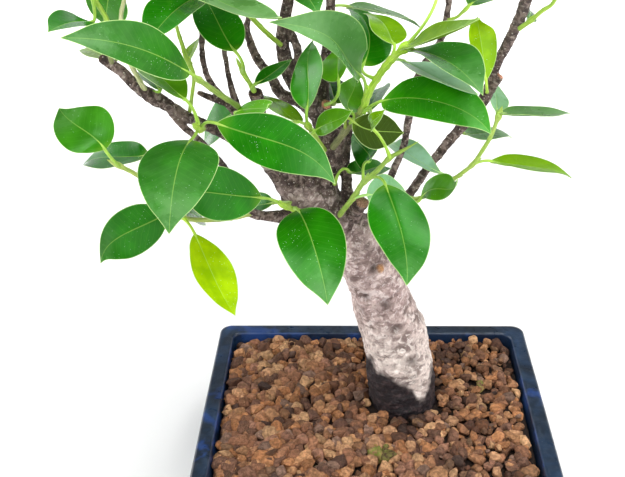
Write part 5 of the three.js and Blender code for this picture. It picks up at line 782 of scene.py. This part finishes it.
    # Where the wrinkles sink in, kept to darken the bark there as painted shade.
    recess_shade = np.clip(0.5 - (wr - 0.45) * 0.8 - noise_at(co, 1 / 5.5, 7) * 0.9, 0, 1)
    mask = np.column_stack([wet, darkwood, np.clip(cut, 0, 1), knot]).astype(np.float32)
    me.attributes.new("mask", "FLOAT_COLOR", "POINT").data.foreach_set("color", mask.ravel())
    me.attributes.new("face", "FLOAT_COLOR", "POINT").data.foreach_set("color", np.column_stack([face, np.ones(k)]).astype(np.float32).ravel())
    me.attributes.new("lf", "FLOAT_VECTOR", "POINT").data.foreach_set("vector", np.column_stack([recess_shade, np.maximum(scar, 0), trunk]).astype(np.float32).ravel())
    me.attributes.new("uvw", "FLOAT_VECTOR", "POINT").data.foreach_set("vector", (ring + off[:, None]).astype(np.float32).ravel())
    me.polygons.foreach_set("use_smooth", [True] * len(me.polygons))
    me.update()
    me.materials.clear()
    me.materials.append(bark_material())
    return ob


CUT_ENDS = {"limb_left": "#4a3528", "cut_mid": "#e8a58c", "twig_b": "#9c8a48", "stub_far": "#c98f76", "stub_s4": "#33241f", "stub_trunk": "#b08a72", "stub_e2": "#7c5a50"}


def bark_material():
    g = Mat("bark_grey_brown")
    mask, lf, uvw = g.attr("mask"), g.attr("lf").outputs["Vector"], g.attr("uvw").outputs["Vector"]
    wet, dark, cut = g.split(mask.outputs["Color"])
    knot = mask.outputs["Alpha"]
    recess_shade, scar, trunk = g.split(lf)
    p = g.vmath("SCALE", g.place(), scale=1000.0)                    # millimetres
    big = g.noise(p, 0.075, 4.0, 0.6)
    mid = g.noise(p, 0.26, 4.0, 0.6, 0.6)
    fine = g.noise(p, 1.5, 4.0, 0.65)
    crack = g.cells(g.vmath("MULTIPLY", uvw, (0.35, 1.0, 0.35)), 0.55, "DISTANCE_TO_EDGE", 1.0)
    x, y, z = g.split(uvw)
    lines = g.noise(g.join(g.math("MULTIPLY", x, 0.16), g.math("MULTIPLY", y, 1.15), g.math("MULTIPLY", z, 0.16)), 1.0, 4.0, 0.6, 0.8)
    # Dry trunk: pinkish grey with cream patches, and grey-brown painted shade in the hollows.
    dry = g.ramp(big, [(0.3, srgb("#a8928b")), (0.45, srgb("#cdb8b0")), (0.56, srgb("#e6d3c9")), (0.7, srgb("#f6e9dd"))])
    dry = g.mix(g.step(mid, 0.5, 0.68, 0.0, 0.6), dry, srgb("#a08a86"))
    dry = g.mix(g.step(g.split(p)[2], 146.0, 100.0, 0.0, 0.55), g.mix(1.0, dry, (0.83, 0.775, 0.8), "MULTIPLY"), srgb("#fbeee4"))
    crumb = g.noise(p, 0.3, 4.0, 0.58, 0.9)
    # Grey-brown painted shade where the wrinkles sink in, deepened by the crumb noise.
    dry = g.mix(g.step(g.math("MULTIPLY_ADD", crumb, 0.9, g.math("SUBTRACT", recess_shade, 0.45)), 0.38, 1.05, 0.0, 0.7), dry, srgb("#6a5650"))
    # Paler on the raised crumbs and darker in the dips between them: painted highlight and painted shade on the bark's
    # relief.
    dry = g.mix(g.step(crumb, 0.5, 0.62, 0.0, 0.72), dry, g.mix(g.step(g.split(p)[2], 146.0, 104.0), srgb("#f0e0dd"), srgb("#fff4ec")))
    dry = g.mix(g.step(crumb, 0.48, 0.34, 0.0, 0.62), dry, srgb("#755f5c"))
    dry = g.mix(g.step(lines, 0.58, 0.72, 0.0, 0.45), dry, srgb("#6b5953"))
    dry = g.mix(g.step(crack, 0.05, 0.0, 0.0, 0.16), dry, srgb("#5c4a45"))
    # Younger limbs: dark grey-brown with light, corky pores.
    limb = g.mix(g.step(mid, 0.35, 0.68), srgb("#352926"), srgb("#63524b"))
    limb = g.mix(g.step(lines, 0.5, 0.7, 0.0, 0.5), limb, srgb("#2c2321"))
    limb = g.mix(g.step(big, 0.48, 0.68, 0.0, 0.35), limb, srgb("#9c877d"))
    limb = g.mix(g.math("MULTIPLY", g.step(fine, 0.56, 0.7), g.step(mid, 0.42, 0.6)), limb, srgb("#bba8a0"))
    # The same painted highlight on raised crumbs and painted shade in their dips, on the limbs.
    limb = g.mix(g.step(crumb, 0.5, 0.62, 0.0, 0.62), limb, srgb("#a18d84"))
    limb = g.mix(g.step(crumb, 0.47, 0.36, 0.0, 0.75), limb, srgb("#241a18"))
    pores = g.step(g.cells(p, 0.5), 0.22, 0.12)
    ring = g.step(scar, 0.35, 0.8)
    light = g.math("MAXIMUM", g.math("MULTIPLY", pores, 0.75), g.math("MULTIPLY", g.math("MULTIPLY", ring, g.step(mid, 0.45, 0.6)), 0.3))
    limb = g.mix(light, limb, srgb("#d8cdc2"))
    # The limbs on the far right are older and paler.
    limb = g.mix(g.step(g.split(p)[0], 55.0, 110.0, 0.0, 0.42), limb, srgb("#a8989a"))
    mixd = g.math("ADD", dark, g.math("MULTIPLY_ADD", mid, 0.5, -0.25), clamp=True)
    col = g.mix(mixd, dry, limb)
    col = g.mix(g.step(fine, 0.52, 0.75, 0.0, 0.28), col, g.mix(1.0, col, (0.62, 0.6, 0.58), "MULTIPLY"))
    col = g.mix(g.step(fine, 0.44, 0.28, 0.0, 0.2), col, g.mix(1.0, col, (1.4, 1.38, 1.36), "MULTIPLY"))
    # Old knots, the damp foot of the trunk, and bare wood where something was cut off.
    col = g.mix(g.math("MULTIPLY", knot, 0.8), col, srgb("#3c302b"))
    soak = g.mix(g.step(mid, 0.46, 0.7), srgb("#1f191d"), srgb("#4a3b3c"))
    soak = g.mix(g.step(fine, 0.6, 0.75, 0.0, 0.5), soak, srgb("#6f5f5c"))
    col = g.mix(wet, col, soak)
    bare = g.attr("face").outputs["Color"]
    wood = g.mix(g.step(fine, 0.35, 0.65), g.mix(1.0, bare, (0.55, 0.5, 0.48), "MULTIPLY"), g.mix(1.0, bare, (1.35, 1.3, 1.25), "MULTIPLY"))
    col = g.mix(cut, col, wood)
    height = g.math("MULTIPLY_ADD", lines, -0.9, g.math("MULTIPLY", fine, 0.7))
    height = g.math("MULTIPLY_ADD", g.step(crack, 0.09, 0.0), -0.3, height)
    height = g.math("MULTIPLY_ADD", g.math("MULTIPLY", pores, dark), 0.7, height)
    height = g.math("MULTIPLY_ADD", crumb, g.math("MULTIPLY_ADD", dark, 1.2, 1.8), height)
    nrm = g.bump(height, 0.9, 0.0008)
    rough = g.math("SUBTRACT", 0.86, g.math("MULTIPLY", wet, 0.34))
    return g.done(col, rough, nrm, Specular_IOR_Level=0.35)


# ---------------------------------------------------------------- pot
def rect_ring(hx, hy, r, z, n):
    """Points round a rounded rectangle: 4 corners of n points and 4 sides of 3 n points."""
    out = []
    for q, (sx, sy) in enumerate(((1, 1), (-1, 1), (-1, -1), (1, -1))):
        for i in range(n):
            a = math.radians(90 * q + 90 * i / (n - 1))
            out.append((sx * (hx - r) + r * math.cos(a), sy * (hy - r) + r * math.sin(a)))
        nx, ny = ((-1, 1), (-1, -1), (1, -1), (1, 1))[q]
        a = math.radians(90 * (q + 1))
        end = (nx * (hx - r) + r * math.cos(a), ny * (hy - r) + r * math.sin(a))
        s = out[-1]
        for i in range(1, 3 * n):
            f = i / (3 * n)
            out.append((s[0] + (end[0] - s[0]) * f, s[1] + (end[1] - s[1]) * f))
    return [(x, y, z) for x, y in out]


def bend(points, step):
    """A profile through (half width, height) points, in straight runs cut about every step mm."""
    out = []
    for i in range(len(points) - 1):
        a, b = np.array(points[i][:2], float), np.array(points[i + 1][:2], float)
        n = max(1, int(np.linalg.norm(b - a) / step))
        out += [a + (b - a) * k / n for k in range(n)]
    out.append(np.array(points[-1][:2], float))
    return out


def arc_pts(cx, cz, r, a0, a1, n):
    return [(cx + r * math.cos(math.radians(a0 + (a1 - a0) * i / n)), cz + r * math.sin(math.radians(a0 + (a1 - a0) * i / n))) for i in range(n + 1)]


def make_pot():
    n = 9
    skin = Skin()
    outer = [(78, 7.0)] + arc_pts(90.4, 9.3, 2.3, -90, -15, 6)
    outer += bend([(93.2, 12.0), (97.4, 34.0), (100.4, 53.0)], 4.0)
    outer += [(100.75, 54.0), (101.4, 54.75), (102.4, 55.1)]
    outer += arc_pts(103.3, 56.8, 1.7, -80, 0, 5) + [(105.05, 59.5), (105.05, 62.0)]
    outer += arc_pts(103.1, 63.05, 1.95, 0, 90, 7)
    inner = [(101.0, 65.05), (98.6, 65.0), (97.0, 64.95)] + arc_pts(96.8, 63.2, 1.75, 90, 180, 6)
    inner += bend([(94.8, 61.0), (91.4, 39.0), (88.4, 19.5)], 4.0)
    inner += arc_pts(84.0, 17.0, 4.0, 0, -90, 5)
    prof = outer + inner + [(78, 13.0)]
    rings = []
    for i, (hx, z) in enumerate(prof):
        out = i < len(outer)
        r = 7.5 if out else 6.5
        ring = np.array(rect_ring(hx, hx - 22.5, min(r, hx - 40), z, n))
        rings.append(ring)
    k = len(rings[0])
    V = np.vstack(rings)
    # The walls of a fired pot are never quite straight.
    w = noise_at(V, 1 / 60, 11) * 0.35 + noise_at(V, 1 / 17, 12) * 0.10
    c = unit(V * [1, 1, 0]) * w[:, None]
    flat = (V[:, 2] < 7.6) | (np.abs(V[:, 2] - 13) < 0.01)
    V = V + np.where(flat[:, None], 0, c) * [1, 1, 0]
    V[:, 2] += np.where(V[:, 2] > 60, noise_at(V, 1 / 48, 13) * 0.12, 0)
    F = [(i * k + j, i * k + (j + 1) % k, (i + 1) * k + (j + 1) % k, (i + 1) * k + j) for i in range(len(rings) - 1) for j in range(k)]
    F += [tuple(range(k))[::-1], tuple((len(rings) - 1) * k + j for j in range(k))]
    skin.add(V, F)
    for sx in (-1, 1):
        for sy in (-1, 1):
            rr = []
            for hx, hy, z, r in ((10.8, 6.8, 0.0, 3.4), (12.0, 8.0, 0.25, 4.0), (13.4, 9.4, 0.9, 4.6), (14.5, 10.5, 2.2, 5.0), (15.0, 11.0, 4.5, 5.2), (15.3, 11.3, 6.4, 5.3), (15.9, 11.9, 7.4, 5.6), (16.2, 12.2, 9.2, 5.6)):
                rr.append(np.array(rect_ring(hx, hy, r, z, 6)) + [72 * sx, 50 * sy, 0])
            kk = len(rr[0])
            FF = [(i * kk + j, i * kk + (j + 1) % kk, (i + 1) * kk + (j + 1) % kk, (i + 1) * kk + j) for i in range(len(rr) - 1) for j in range(kk)]
            FF += [tuple(range(kk))[::-1], tuple((len(rr) - 1) * kk + j for j in range(kk))]
            skin.add(np.vstack(rr), FF)
    pot = skin.make("glazed_pot", [glaze_material()], 40)
    # Drain holes, cut through the floor with a slightly rounded edge.
    for x in (-42, 42):
        cut = Skin()
        P = np.array([(x, 0, z) for z in (3, 6.4, 7.4, 8.2, 12.0, 12.7, 13.4, 17)], float)
        R = np.array([13.0, 13.0, 12.3, 12.0, 12.0, 12.3, 13.0, 13.0])
        v, f, _ = tube(P, R, 48)
        cut.add(v, f)
        c = cut.make("drill", [], 0)
        md = pot.modifiers.new("hole", "BOOLEAN")
        md.operation, md.object, md.solver = "DIFFERENCE", c, "EXACT"
        own_mesh(pot)
        bpy.data.objects.remove(c)
    pot.data.set_sharp_from_angle(angle=math.radians(40))
    return pot


def glaze_material():
    g = Mat("blue_black_glaze")
    p = g.vmath("SCALE", g.place(), scale=1000.0)
    x, y, z = g.split(p)
    big = g.noise(p, 0.035, 4.0, 0.6, 0.5)
    mid = g.noise(p, 0.16, 4.0, 0.6, 1.0)
    fine = g.noise(p, 0.9, 3.0, 0.6)
    col = g.ramp(big, [(0.32, srgb("#0b121b")), (0.48, srgb("#13202f")), (0.62, srgb("#1b2e45")), (0.78, srgb("#2a4466"))])
    col = g.mix(g.step(mid, 0.56, 0.72, 0.0, 0.5), col, srgb("#1c2c3f"))
    # Clear cobalt where the glaze ran thick inside the lip.
    inside = g.math("MULTIPLY", g.step(z, 55.0, 60.0), g.step(z, 64.9, 64.2))
    inwards = g.math("MULTIPLY", g.step(g.math("ABSOLUTE", x), 98.5, 97.0), g.step(g.math("ABSOLUTE", y), 76.0, 74.5))
    blue = g.math("MULTIPLY", g.math("MULTIPLY", inside, inwards), g.step(g.noise(p, 0.05, 3.0), 0.48, 0.64, 0.12, 1.0))
    col = g.mix(g.math("MULTIPLY", blue, 0.75), col, srgb("#2c4c8c"))
    spot = g.step(g.noise(p, 0.045, 3.0, 0.6, 0.4), 0.56, 0.68)
    col = g.mix(g.math("MULTIPLY", spot, 0.55), col, srgb("#24468a"))
    # The glaze breaks thinner and paler along the edges of the lip.
    lip = g.math("MULTIPLY", g.step(z, 62.6, 64.2), g.step(z, 65.3, 64.7, 0.0, 1.0))
    worn = g.math("MULTIPLY", lip, g.step(mid, 0.4, 0.66))
    col = g.mix(g.math("MULTIPLY", worn, 0.16), col, srgb("#5f6b7a"))
    dots = g.step(g.cells(p, 0.35), 0.16, 0.06)
    col = g.mix(g.math("MULTIPLY", dots, g.math("MULTIPLY", g.step(fine, 0.45, 0.6), 0.2)), col, srgb("#6f7b8a"))
    # Bare fired clay on the feet and the underside.
    clay = g.mix(g.step(fine, 0.3, 0.7), srgb("#7d6551"), srgb("#a38a70"))
    bare = g.step(g.math("ADD", z, g.math("MULTIPLY", mid, 1.6)), 8.6, 7.6)
    inner_floor = g.math("MULTIPLY", g.step(z, 22.0, 18.0), g.math("MULTIPLY", g.step(g.math("ABSOLUTE", x), 89.5, 88.5), g.step(g.math("ABSOLUTE", y), 67.0, 66.0)))
    bare = g.math("MAXIMUM", bare, inner_floor)
    col = g.mix(bare, col, clay)
    rough = g.math("MULTIPLY_ADD", bare, 0.5, g.math("MULTIPLY_ADD", mid, 0.22, 0.2))
    h = g.math("MULTIPLY_ADD", fine, 0.25, mid)
    return g.done(col, rough, g.bump(h, 0.35, 0.0006), Specular_IOR_Level=0.4, Coat_Weight=0.12, Coat_Roughness=0.16)


# ---------------------------------------------------------------- soil
def rock(r, r3, base):
    """One broken grain of fired clay, as a blunt, uneven lump."""
    v = base * (1 + r.uniform(-0.10, 0.10, (len(base), 1)))
    # A few flat broken faces.
    for _ in range(r.randint(7, 11)):
        a = unit(r.normal(size=3))
        d = r.uniform(0.5, 0.84)
        x = v @ a
        v = v - np.maximum(x - d, 0)[:, None] * a * 0.96
    return v * r3 * 1.12


def ico(sub):
    t = (1 + 5 ** 0.5) / 2
    v = [(-1, t, 0), (1, t, 0), (-1, -t, 0), (1, -t, 0), (0, -1, t), (0, 1, t), (0, -1, -t), (0, 1, -t), (t, 0, -1), (t, 0, 1), (-t, 0, -1), (-t, 0, 1)]
    f = [(0, 11, 5), (0, 5, 1), (0, 1, 7), (0, 7, 10), (0, 10, 11), (1, 5, 9), (5, 11, 4), (11, 10, 2), (10, 7, 6), (7, 1, 8), (3, 9, 4), (3, 4, 2), (3, 2, 6), (3, 6, 8), (3, 8, 9), (4, 9, 5), (2, 4, 11), (6, 2, 10), (8, 6, 7), (9, 8, 1)]
    v = [unit(np.array(q, float)) for q in v]
    for _ in range(sub):
        seen, g = {}, []
        def half(a, b):
            key = (min(a, b), max(a, b))
            if key not in seen:
                v.append(unit(v[a] + v[b]))
                seen[key] = len(v) - 1
            return seen[key]
        for a, b, c in f:
            x, y, z = half(a, b), half(b, c), half(c, a)
            g += [(a, x, z), (b, y, x), (c, z, y), (x, y, z)]
        f = g
    return np.array(v), f


def mound(x, y):
    """Height of the bed of grains."""
    e = 1 - np.clip(np.abs(x) / 93, 0, 1) ** 4 * 0.6 - np.clip(np.abs(y) / 71, 0, 1) ** 4 * 0.6
    q = np.exp(-(((x - 18) / 30) ** 2 + ((y - 8) / 26) ** 2))
    return 58.9 + 2.3 * e + 3.4 * q + 0.7 * np.sin(x / 17 + 1) * np.cos(y / 14)


def make_soil():
    r = np.random.RandomState(5)
    skin = Skin()
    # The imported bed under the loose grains.
    n = 10
    edge = np.array(rect_ring(93.4, 70.9, 10.0, 0, n))[:, :2]
    k = len(edge)
    rings = [np.column_stack([edge * [87.2 / 93.4, 64.7 / 70.9], np.full(k, 16.0)]), np.column_stack([edge * [92.6 / 93.4, 70.1 / 70.9], np.full(k, 50.0)])]
    for s in (1.0, 0.97, 0.9, 0.8, 0.68, 0.55, 0.42, 0.29, 0.16, 0.06):
        xy = edge * s
        z = mound(xy[:, 0], xy[:, 1]) - 2.6 + r.uniform(-0.8, 0.8, k)
        rings.append(np.column_stack([xy, z]))
    V = np.vstack(rings)
    F = [(i * k + j, i * k + (j + 1) % k, (i + 1) * k + (j + 1) % k, (i + 1) * k + j) for i in range(len(rings) - 1) for j in range(k)]
    F += [tuple(range(k))[::-1], tuple((len(rings) - 1) * k + j for j in range(k))]
    # The bed is dark, damp-looking soil, darkened further as painted shade for the gaps between the grains.
    dark = np.array(srgb("#3a2a22"))
    skin.add(V, F, 0, np.append(dark, 0.8))
    shapes = [ico(2) for _ in range(1)]
    bv, bf = shapes[0]
    bv1, bf1 = ico(1)
    pal = [srgb(c) for c in ("#a9764f", "#8d5f42", "#9c6b4a", "#b98558", "#7a543e", "#b47a4c", "#c29064", "#94684e", "#6d4c3a", "#a06a40", "#c99a6a", "#8a6a55")]
    wetspots = [(62, -18, 13), (90, 38, 12), (52, 52, 15), (-30, 60, 10), (46, -52, 12), (-60, -62, 10), (-70, 20, 9), (18, -20, 14), (78, -58, 10), (0, 66, 9)]

    def lay(count_step, lo, hi, lift, keep, fine):
        pts = []
        ny = int(142 / (count_step * 0.87))
        for j in range(ny):
            y = -70.2 + (j + 0.5) * (140.4 / ny)
            nx = int(186 / count_step)
            for i in range(nx):
                x = -92.4 + (i + (0.5 if j % 2 else 0.1)) * (184.8 / nx)
                pts.append((x + r.uniform(-0.34, 0.34) * count_step, y + r.uniform(-0.34, 0.34) * count_step))
        for x, y in pts:
            if r.uniform() > keep:
                continue
            size = r.uniform(lo, hi) * (np.interp(x, [-60, 0, 60], [1.26, 1.08, 0.92]) + (0.08 if y < -20 else 0)) * (1.25 if r.uniform() < 0.1 else 1)
            lim_x, lim_y = 94.0 - size * 0.5, 71.5 - size * 0.5
            x, y = np.clip(x, -lim_x, lim_x), np.clip(y, -lim_y, lim_y)
            if (abs(x) > 84 and abs(y) > 61) and math.hypot(abs(x) - 84, abs(y) - 61) > 9.6 - size * 0.5:
                continue
            d = math.hypot((x - 18.3) / 22.0, (y - 8.3) / 21.5)
            if d < 0.92 and lift < 1:
                continue
            if d < 1.04:
                continue
            flat = r.uniform(0.62, 0.95)
            s = np.array([size * 0.5 * r.uniform(0.9, 1.25), size * 0.5 * r.uniform(0.78, 1.0), size * 0.5 * flat])
            v = rock(r, s, bv if fine else bv1)
            q = Matrix.Rotation(r.uniform(0, 6.28), 3, "Z") @ Matrix.Rotation(r.normal() * 0.5, 3, "X") @ Matrix.Rotation(r.normal() * 0.5, 3, "Y")
            v = v @ np.array(q).T
            z = mound(x, y) + lift + r.uniform(-0.8, 0.9)
            rim = max(0, abs(x) - 84, abs(y) - 62) / 8
            z = min(z, 66.6 - 0.6 * rim - v[:, 2].max())
            c = np.array(pal[r.randint(len(pal))]) * r.uniform(0.66, 1.18) * [0.86, 0.93, 1.12]
            w = max([math.exp(-((x - a) ** 2 + (y - b) ** 2) / (rr * rr)) for a, b, rr in wetspots])
            w = min(1, w + max(0, 0.9 - (d - 1) * 2.2) * 0.45) + r.uniform(-0.15, 0.15)
            if r.uniform() < 0.07:
                w = 0.8
            moss = math.exp(-((x - 3) ** 2 + (y + 41) ** 2) / 60) + 0.8 * math.exp(-((x - 66) ** 2 + (y - 22) ** 2) / 40)
            cc = np.tile(np.append(c, np.clip(w, 0, 1)), (len(v), 1))
            uv = v + r.uniform(0, 500, 3)
            lf = np.tile([np.clip(moss, 0, 1), r.uniform(), r.uniform()], (len(v), 1))
            skin.add(v + [x, y, z], bf if fine else bf1, 0, cc, lf, uv)

    lay(6.4, 5.4, 8.6, 0.0, 0.98, True)
    lay(8.6, 4.8, 9.2, 2.1, 0.55, True)
    lay(5.2, 2.4, 4.4, 1.0, 0.5, False)
    return skin.make("clay_grains", [soil_material()], 38)


def soil_material():
    g = Mat("fired_clay_grains")
    tone, uvw, lf = g.attr("tone"), g.attr("uvw").outputs["Vector"], g.attr("lf").outputs["Vector"]
    moss, r1, r2 = g.split(lf)
    wet = tone.outputs["Alpha"]
    mid = g.noise(uvw, 0.45, 4.0, 0.65)
    fine = g.noise(uvw, 2.6, 3.0, 0.7)
    col = g.mix(g.step(mid, 0.38, 0.66), g.mix(1.0, tone.outputs["Color"], (0.6, 0.56, 0.52), "MULTIPLY"), g.mix(1.0, tone.outputs["Color"], (1.3, 1.24, 1.18), "MULTIPLY"))
    col = g.mix(g.step(fine, 0.56, 0.72, 0.0, 0.5), col, srgb("#d9b48a"))
    col = g.mix(g.step(fine, 0.42, 0.3, 0.0, 0.5), col, srgb("#4a3226"))
    col = g.mix(g.step(wet, 0.35, 0.9, 0.0, 0.9), col, g.mix(1.0, col, (0.24, 0.21, 0.22), "MULTIPLY"))
    green = g.mix(fine, srgb("#4d5a24"), srgb("#8a9240"))
    col = g.mix(g.math("MULTIPLY", g.step(moss, 0.25, 0.7), g.step(mid, 0.35, 0.6)), col, green)
    pits = g.cells(uvw, 1.3)
    h = g.math("MULTIPLY_ADD", g.step(pits, 0.3, 0.1), -0.5, g.math("MULTIPLY_ADD", fine, 0.6, mid))
    rough = g.math("MULTIPLY_ADD", wet, -0.3, 0.95)
    return g.done(col, rough, g.bump(h, 0.7, 0.0006), Specular_IOR_Level=0.3)


# ---------------------------------------------------------------- drainage screens and their wires
def screen_material():
    g = Mat("dark_plastic_screen")
    p = g.vmath("SCALE", g.place(), scale=1000.0)
    n, f = g.noise(p, 0.4, 4.0, 0.6), g.noise(p, 2.5, 3.0)
    col = g.mix(g.step(n, 0.35, 0.68), srgb("#16181a"), srgb("#2e3234"))
    col = g.mix(g.step(f, 0.62, 0.75, 0.0, 0.6), col, srgb("#6d5a48"))
    return g.done(col, g.math("MULTIPLY_ADD", n, 0.3, 0.4), g.bump(f, 0.4, 0.0002), Specular_IOR_Level=0.4)


def wire_material():
    g = Mat("brown_anodised_wire")
    p = g.vmath("SCALE", g.place(), scale=1000.0)
    n, f = g.noise(p, 0.6, 4.0, 0.6), g.noise(p, 3.5, 3.0)
    col = g.mix(g.step(n, 0.35, 0.7), srgb("#6b4a33"), srgb("#a9805a"))
    return g.done(col, g.math("MULTIPLY_ADD", f, 0.25, 0.28), g.bump(f, 0.3, 0.0001), Metallic=0.85)


def floor_material():
    g = Mat("pale_floor")
    p = g.vmath("SCALE", g.place(), scale=1.0)
    n = g.noise(p, 6.0, 3.0)
    col = g.mix(n, (0.86, 0.86, 0.86), (0.9, 0.9, 0.9))
    return g.done(col, 0.9, None, Specular_IOR_Level=0.1)


# ---------------------------------------------------------------- shoots
def add_stem(skin, rows, mat, seed, green, leaves, brown_base):
    """A grown stem: swollen where leaves leave it, ringed by scars, ending in a pointed bud."""
    path = smooth_path(rows, 1.3)
    P, R = path[:, :3], path[:, 3].copy()
    s = np.concatenate([[0], np.cumsum(np.linalg.norm(np.diff(P, axis=0), axis=1))])
    r = np.random.RandomState(seed)
    nodes = []
    for row in leaves:
        q = np.array(row[2], float)
        d = np.linalg.norm(P - q, axis=1)
        i = int(np.argmin(d))
        if d[i] < 6:
            nodes.append((s[i], q, row))
    for a, _, _ in nodes:
        R += 0.42 * np.exp(-((s - a) / 1.5) ** 2) * np.minimum(1, R)
    for a in np.arange(6 + r.uniform(0, 4), s[-1] - 5, 7.5):
        R += 0.16 * np.exp(-((s - a) / 0.7) ** 2)
    V, F, uvw = tube(P, R, 14)
    n = len(P)
    age = np.repeat(np.clip(brown_base * (1 - s / (0.62 * s[-1] + 1e-6)), 0, 1), 14)
    age = np.append(age, [age[0], age[-1]])
    V = V + unit(V - np.vstack([np.repeat(P, 14, axis=0), P[:1], P[-1:]]))* (noise_at(V, 1 / 2.2, seed)[:, None] * 0.12)
    col = np.column_stack([np.tile(green, (len(V), 1)), age])
    skin.add(V, F, mat, col, None, uvw)
    # A pointed bud in each leaf's axil and at the tip.
    for a, q, row in nodes:
        i = int(np.argmin(abs(s - a)))
        out = unit(q - P[i]) if np.linalg.norm(q - P[i]) > 0.1 else unit(np.array(row[3], float) - P[i])
        T = unit(P[min(i + 2, n - 1)] - P[max(i - 2, 0)])
        j = min(i + 1, n - 1)
        b0 = P[j] + out * R[j] * 0.6 + T * 1.4
        bp = np.array([b0 + (T * 0.8 + out * 0.5) * x for x in (0, 0.7, 1.4, 2.1, 2.7)])
        bv, bf, bu = tube(bp, [0.55, 0.75, 0.62, 0.36, 0.1], 8)
        skin.add(bv, bf, mat, np.append(green * 1.1, 0.1), None, bu)
    T = unit(P[-1] - P[-3])
    L = min(7.0, 2.2 + R[-1] * 3)
    bp = np.array([P[-1] + T * L * x for x in (-0.12, 0.1, 0.35, 0.62, 0.85, 1.0)])
    bv, bf, bu = tube(bp, np.array([0.9, 1.08, 0.95, 0.62, 0.3, 0.08]) * R[-1], 10)
    skin.add(bv, bf, mat, np.append(green * 1.15, 0.0), None, bu)


def studio_walls(t):
    """A white table top and white walls, with a dim ceiling and a dim room in front."""
    bg = t.nodes["Background"]
    co = t.nodes.new("ShaderNodeTexCoord")
    xyz = t.nodes.new("ShaderNodeSeparateXYZ")
    t.links.new(co.outputs["Generated"], xyz.inputs[0])

    def step(v, lo, hi):
        n = t.nodes.new("ShaderNodeMapRange")
        n.interpolation_type = "SMOOTHSTEP"
        n.inputs[1].default_value, n.inputs[2].default_value = lo, hi
        t.links.new(v, n.inputs[0])
        return n.outputs[0]

    def op(kind, a, b):
        n = t.nodes.new("ShaderNodeMath")
        n.operation = kind
        for s, v in zip(n.inputs, (a, b)):
            if isinstance(v, float):
                s.default_value = v
            else:
                t.links.new(v, s)
        return n.outputs[0]

    back = op("MULTIPLY", step(xyz.outputs[1], -0.25, 0.35), step(xyz.outputs[2], 0.5, 0.2))
    low = step(xyz.outputs[2], 0.2, 0.05)
    lit = op("MAXIMUM", back, low)
    st = op("ADD", op("MULTIPLY", lit, WORLD[1] - WORLD[0]), WORLD[0])
    bg.inputs[0].default_value = (0.98, 0.99, 1.0, 1)
    t.links.new(st, bg.inputs[1])


# ---------------------------------------------------------------- the scene
make_camera()
sc = bpy.context.scene
sc.view_settings.view_transform = "Standard"
world = bpy.data.worlds.new("studio")
world.use_nodes = True
studio_walls(world.node_tree)
sc.world = world
for l in LIGHTS:
    area_light(*l)

up, under, shiny = leaf_material("leaf_upper"), leaf_material("leaf_underside", True), leaf_material("leaf_shiny", gloss=True)
stalk = stalk_material("young_stalk", srgb("#b6c866"), 0.0)
stem = stalk_material("green_shoot", srgb("#a9b764"), 0.85)
screen, wire = screen_material(), wire_material()


def repaint(node, m):
    ob = CAD[node]
    ob.data.materials.clear()
    ob.data.materials.append(m)


for side in ("left", "right"):
    repaint("drainage_mesh_" + side, screen)
    repaint("mesh_clip_wire_" + side, wire)


def keep(ob, node, slot_name):
    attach(ob, "root")
    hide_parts(node)


keep(make_pot(), "pot", "pot_glaze")
keep(make_soil(), "soil_bed", "soil_grains")
keep(make_wood(), "trunk_and_limbs", "bark")

SLOT = {"green": "leaf_green", "dark": "leaf_dark", "haze": "leaf_haze", "mid": "leaf_mid", "bright": "leaf_bright", "lime": "leaf_lime",
        "limeg": "leaf_limeg", "pale": "leaf_pale", "paleblue": "leaf_blue", "blue": "leaf_blue", "olive": "leaf_olive", "under": "leaf_under", "gloss": "leaf_gloss"}


def retone(node, j, row):
    return row[:10] + [RETONE.get((node, j), row[10])] + row[11:]


by_node = {}
for i, row in enumerate(LEAVES):
    by_node.setdefault(row[0], []).append((i, row))
for node, rows in by_node.items():
    if not node.startswith("leaf_"):
        continue
    skin = Skin()
    i, row = rows[0]
    add_leaf(skin, retone(node, 0, row), 100 + i, (1, 0, 2, 3) if row[10] == "under" else (0, 1, 2, 3))
    keep(skin.make("blade_" + node[5:], [up, under, stalk, shiny]), node, SLOT[row[10]])
for k, (name, rows) in enumerate(SHOOTS):
    skin = Skin()
    crown = name.startswith("crown")
    green = np.array(srgb(STEM_TONE.get(name, "#98bb42")))
    carried = [row for row in LEAVES if row[1] == name]
    add_stem(skin, rows, 3, 300 + k, green, carried, BROWN.get(name, 0.75 if crown else 0.35))
    for j, (i, row) in enumerate(by_node.get(name, [])):
        add_leaf(skin, retone(name, j, row), 100 + i, (1, 0, 2, 4) if row[10] == "under" else (0, 1, 2, 4), fine=not crown)
    keep(skin.make(("twig_" if crown else "sprig_") + name.split("_")[1], [up, under, stalk, stem, shiny]), name, "crown_foliage" if crown else "green_shoot")

bpy.ops.mesh.primitive_grid_add(x_subdivisions=8, y_subdivisions=8, size=3.7)
floor = bpy.context.object
floor.name = "floor"
floor.location = (0, 0, 0)
floor.data.materials.append(floor_material())
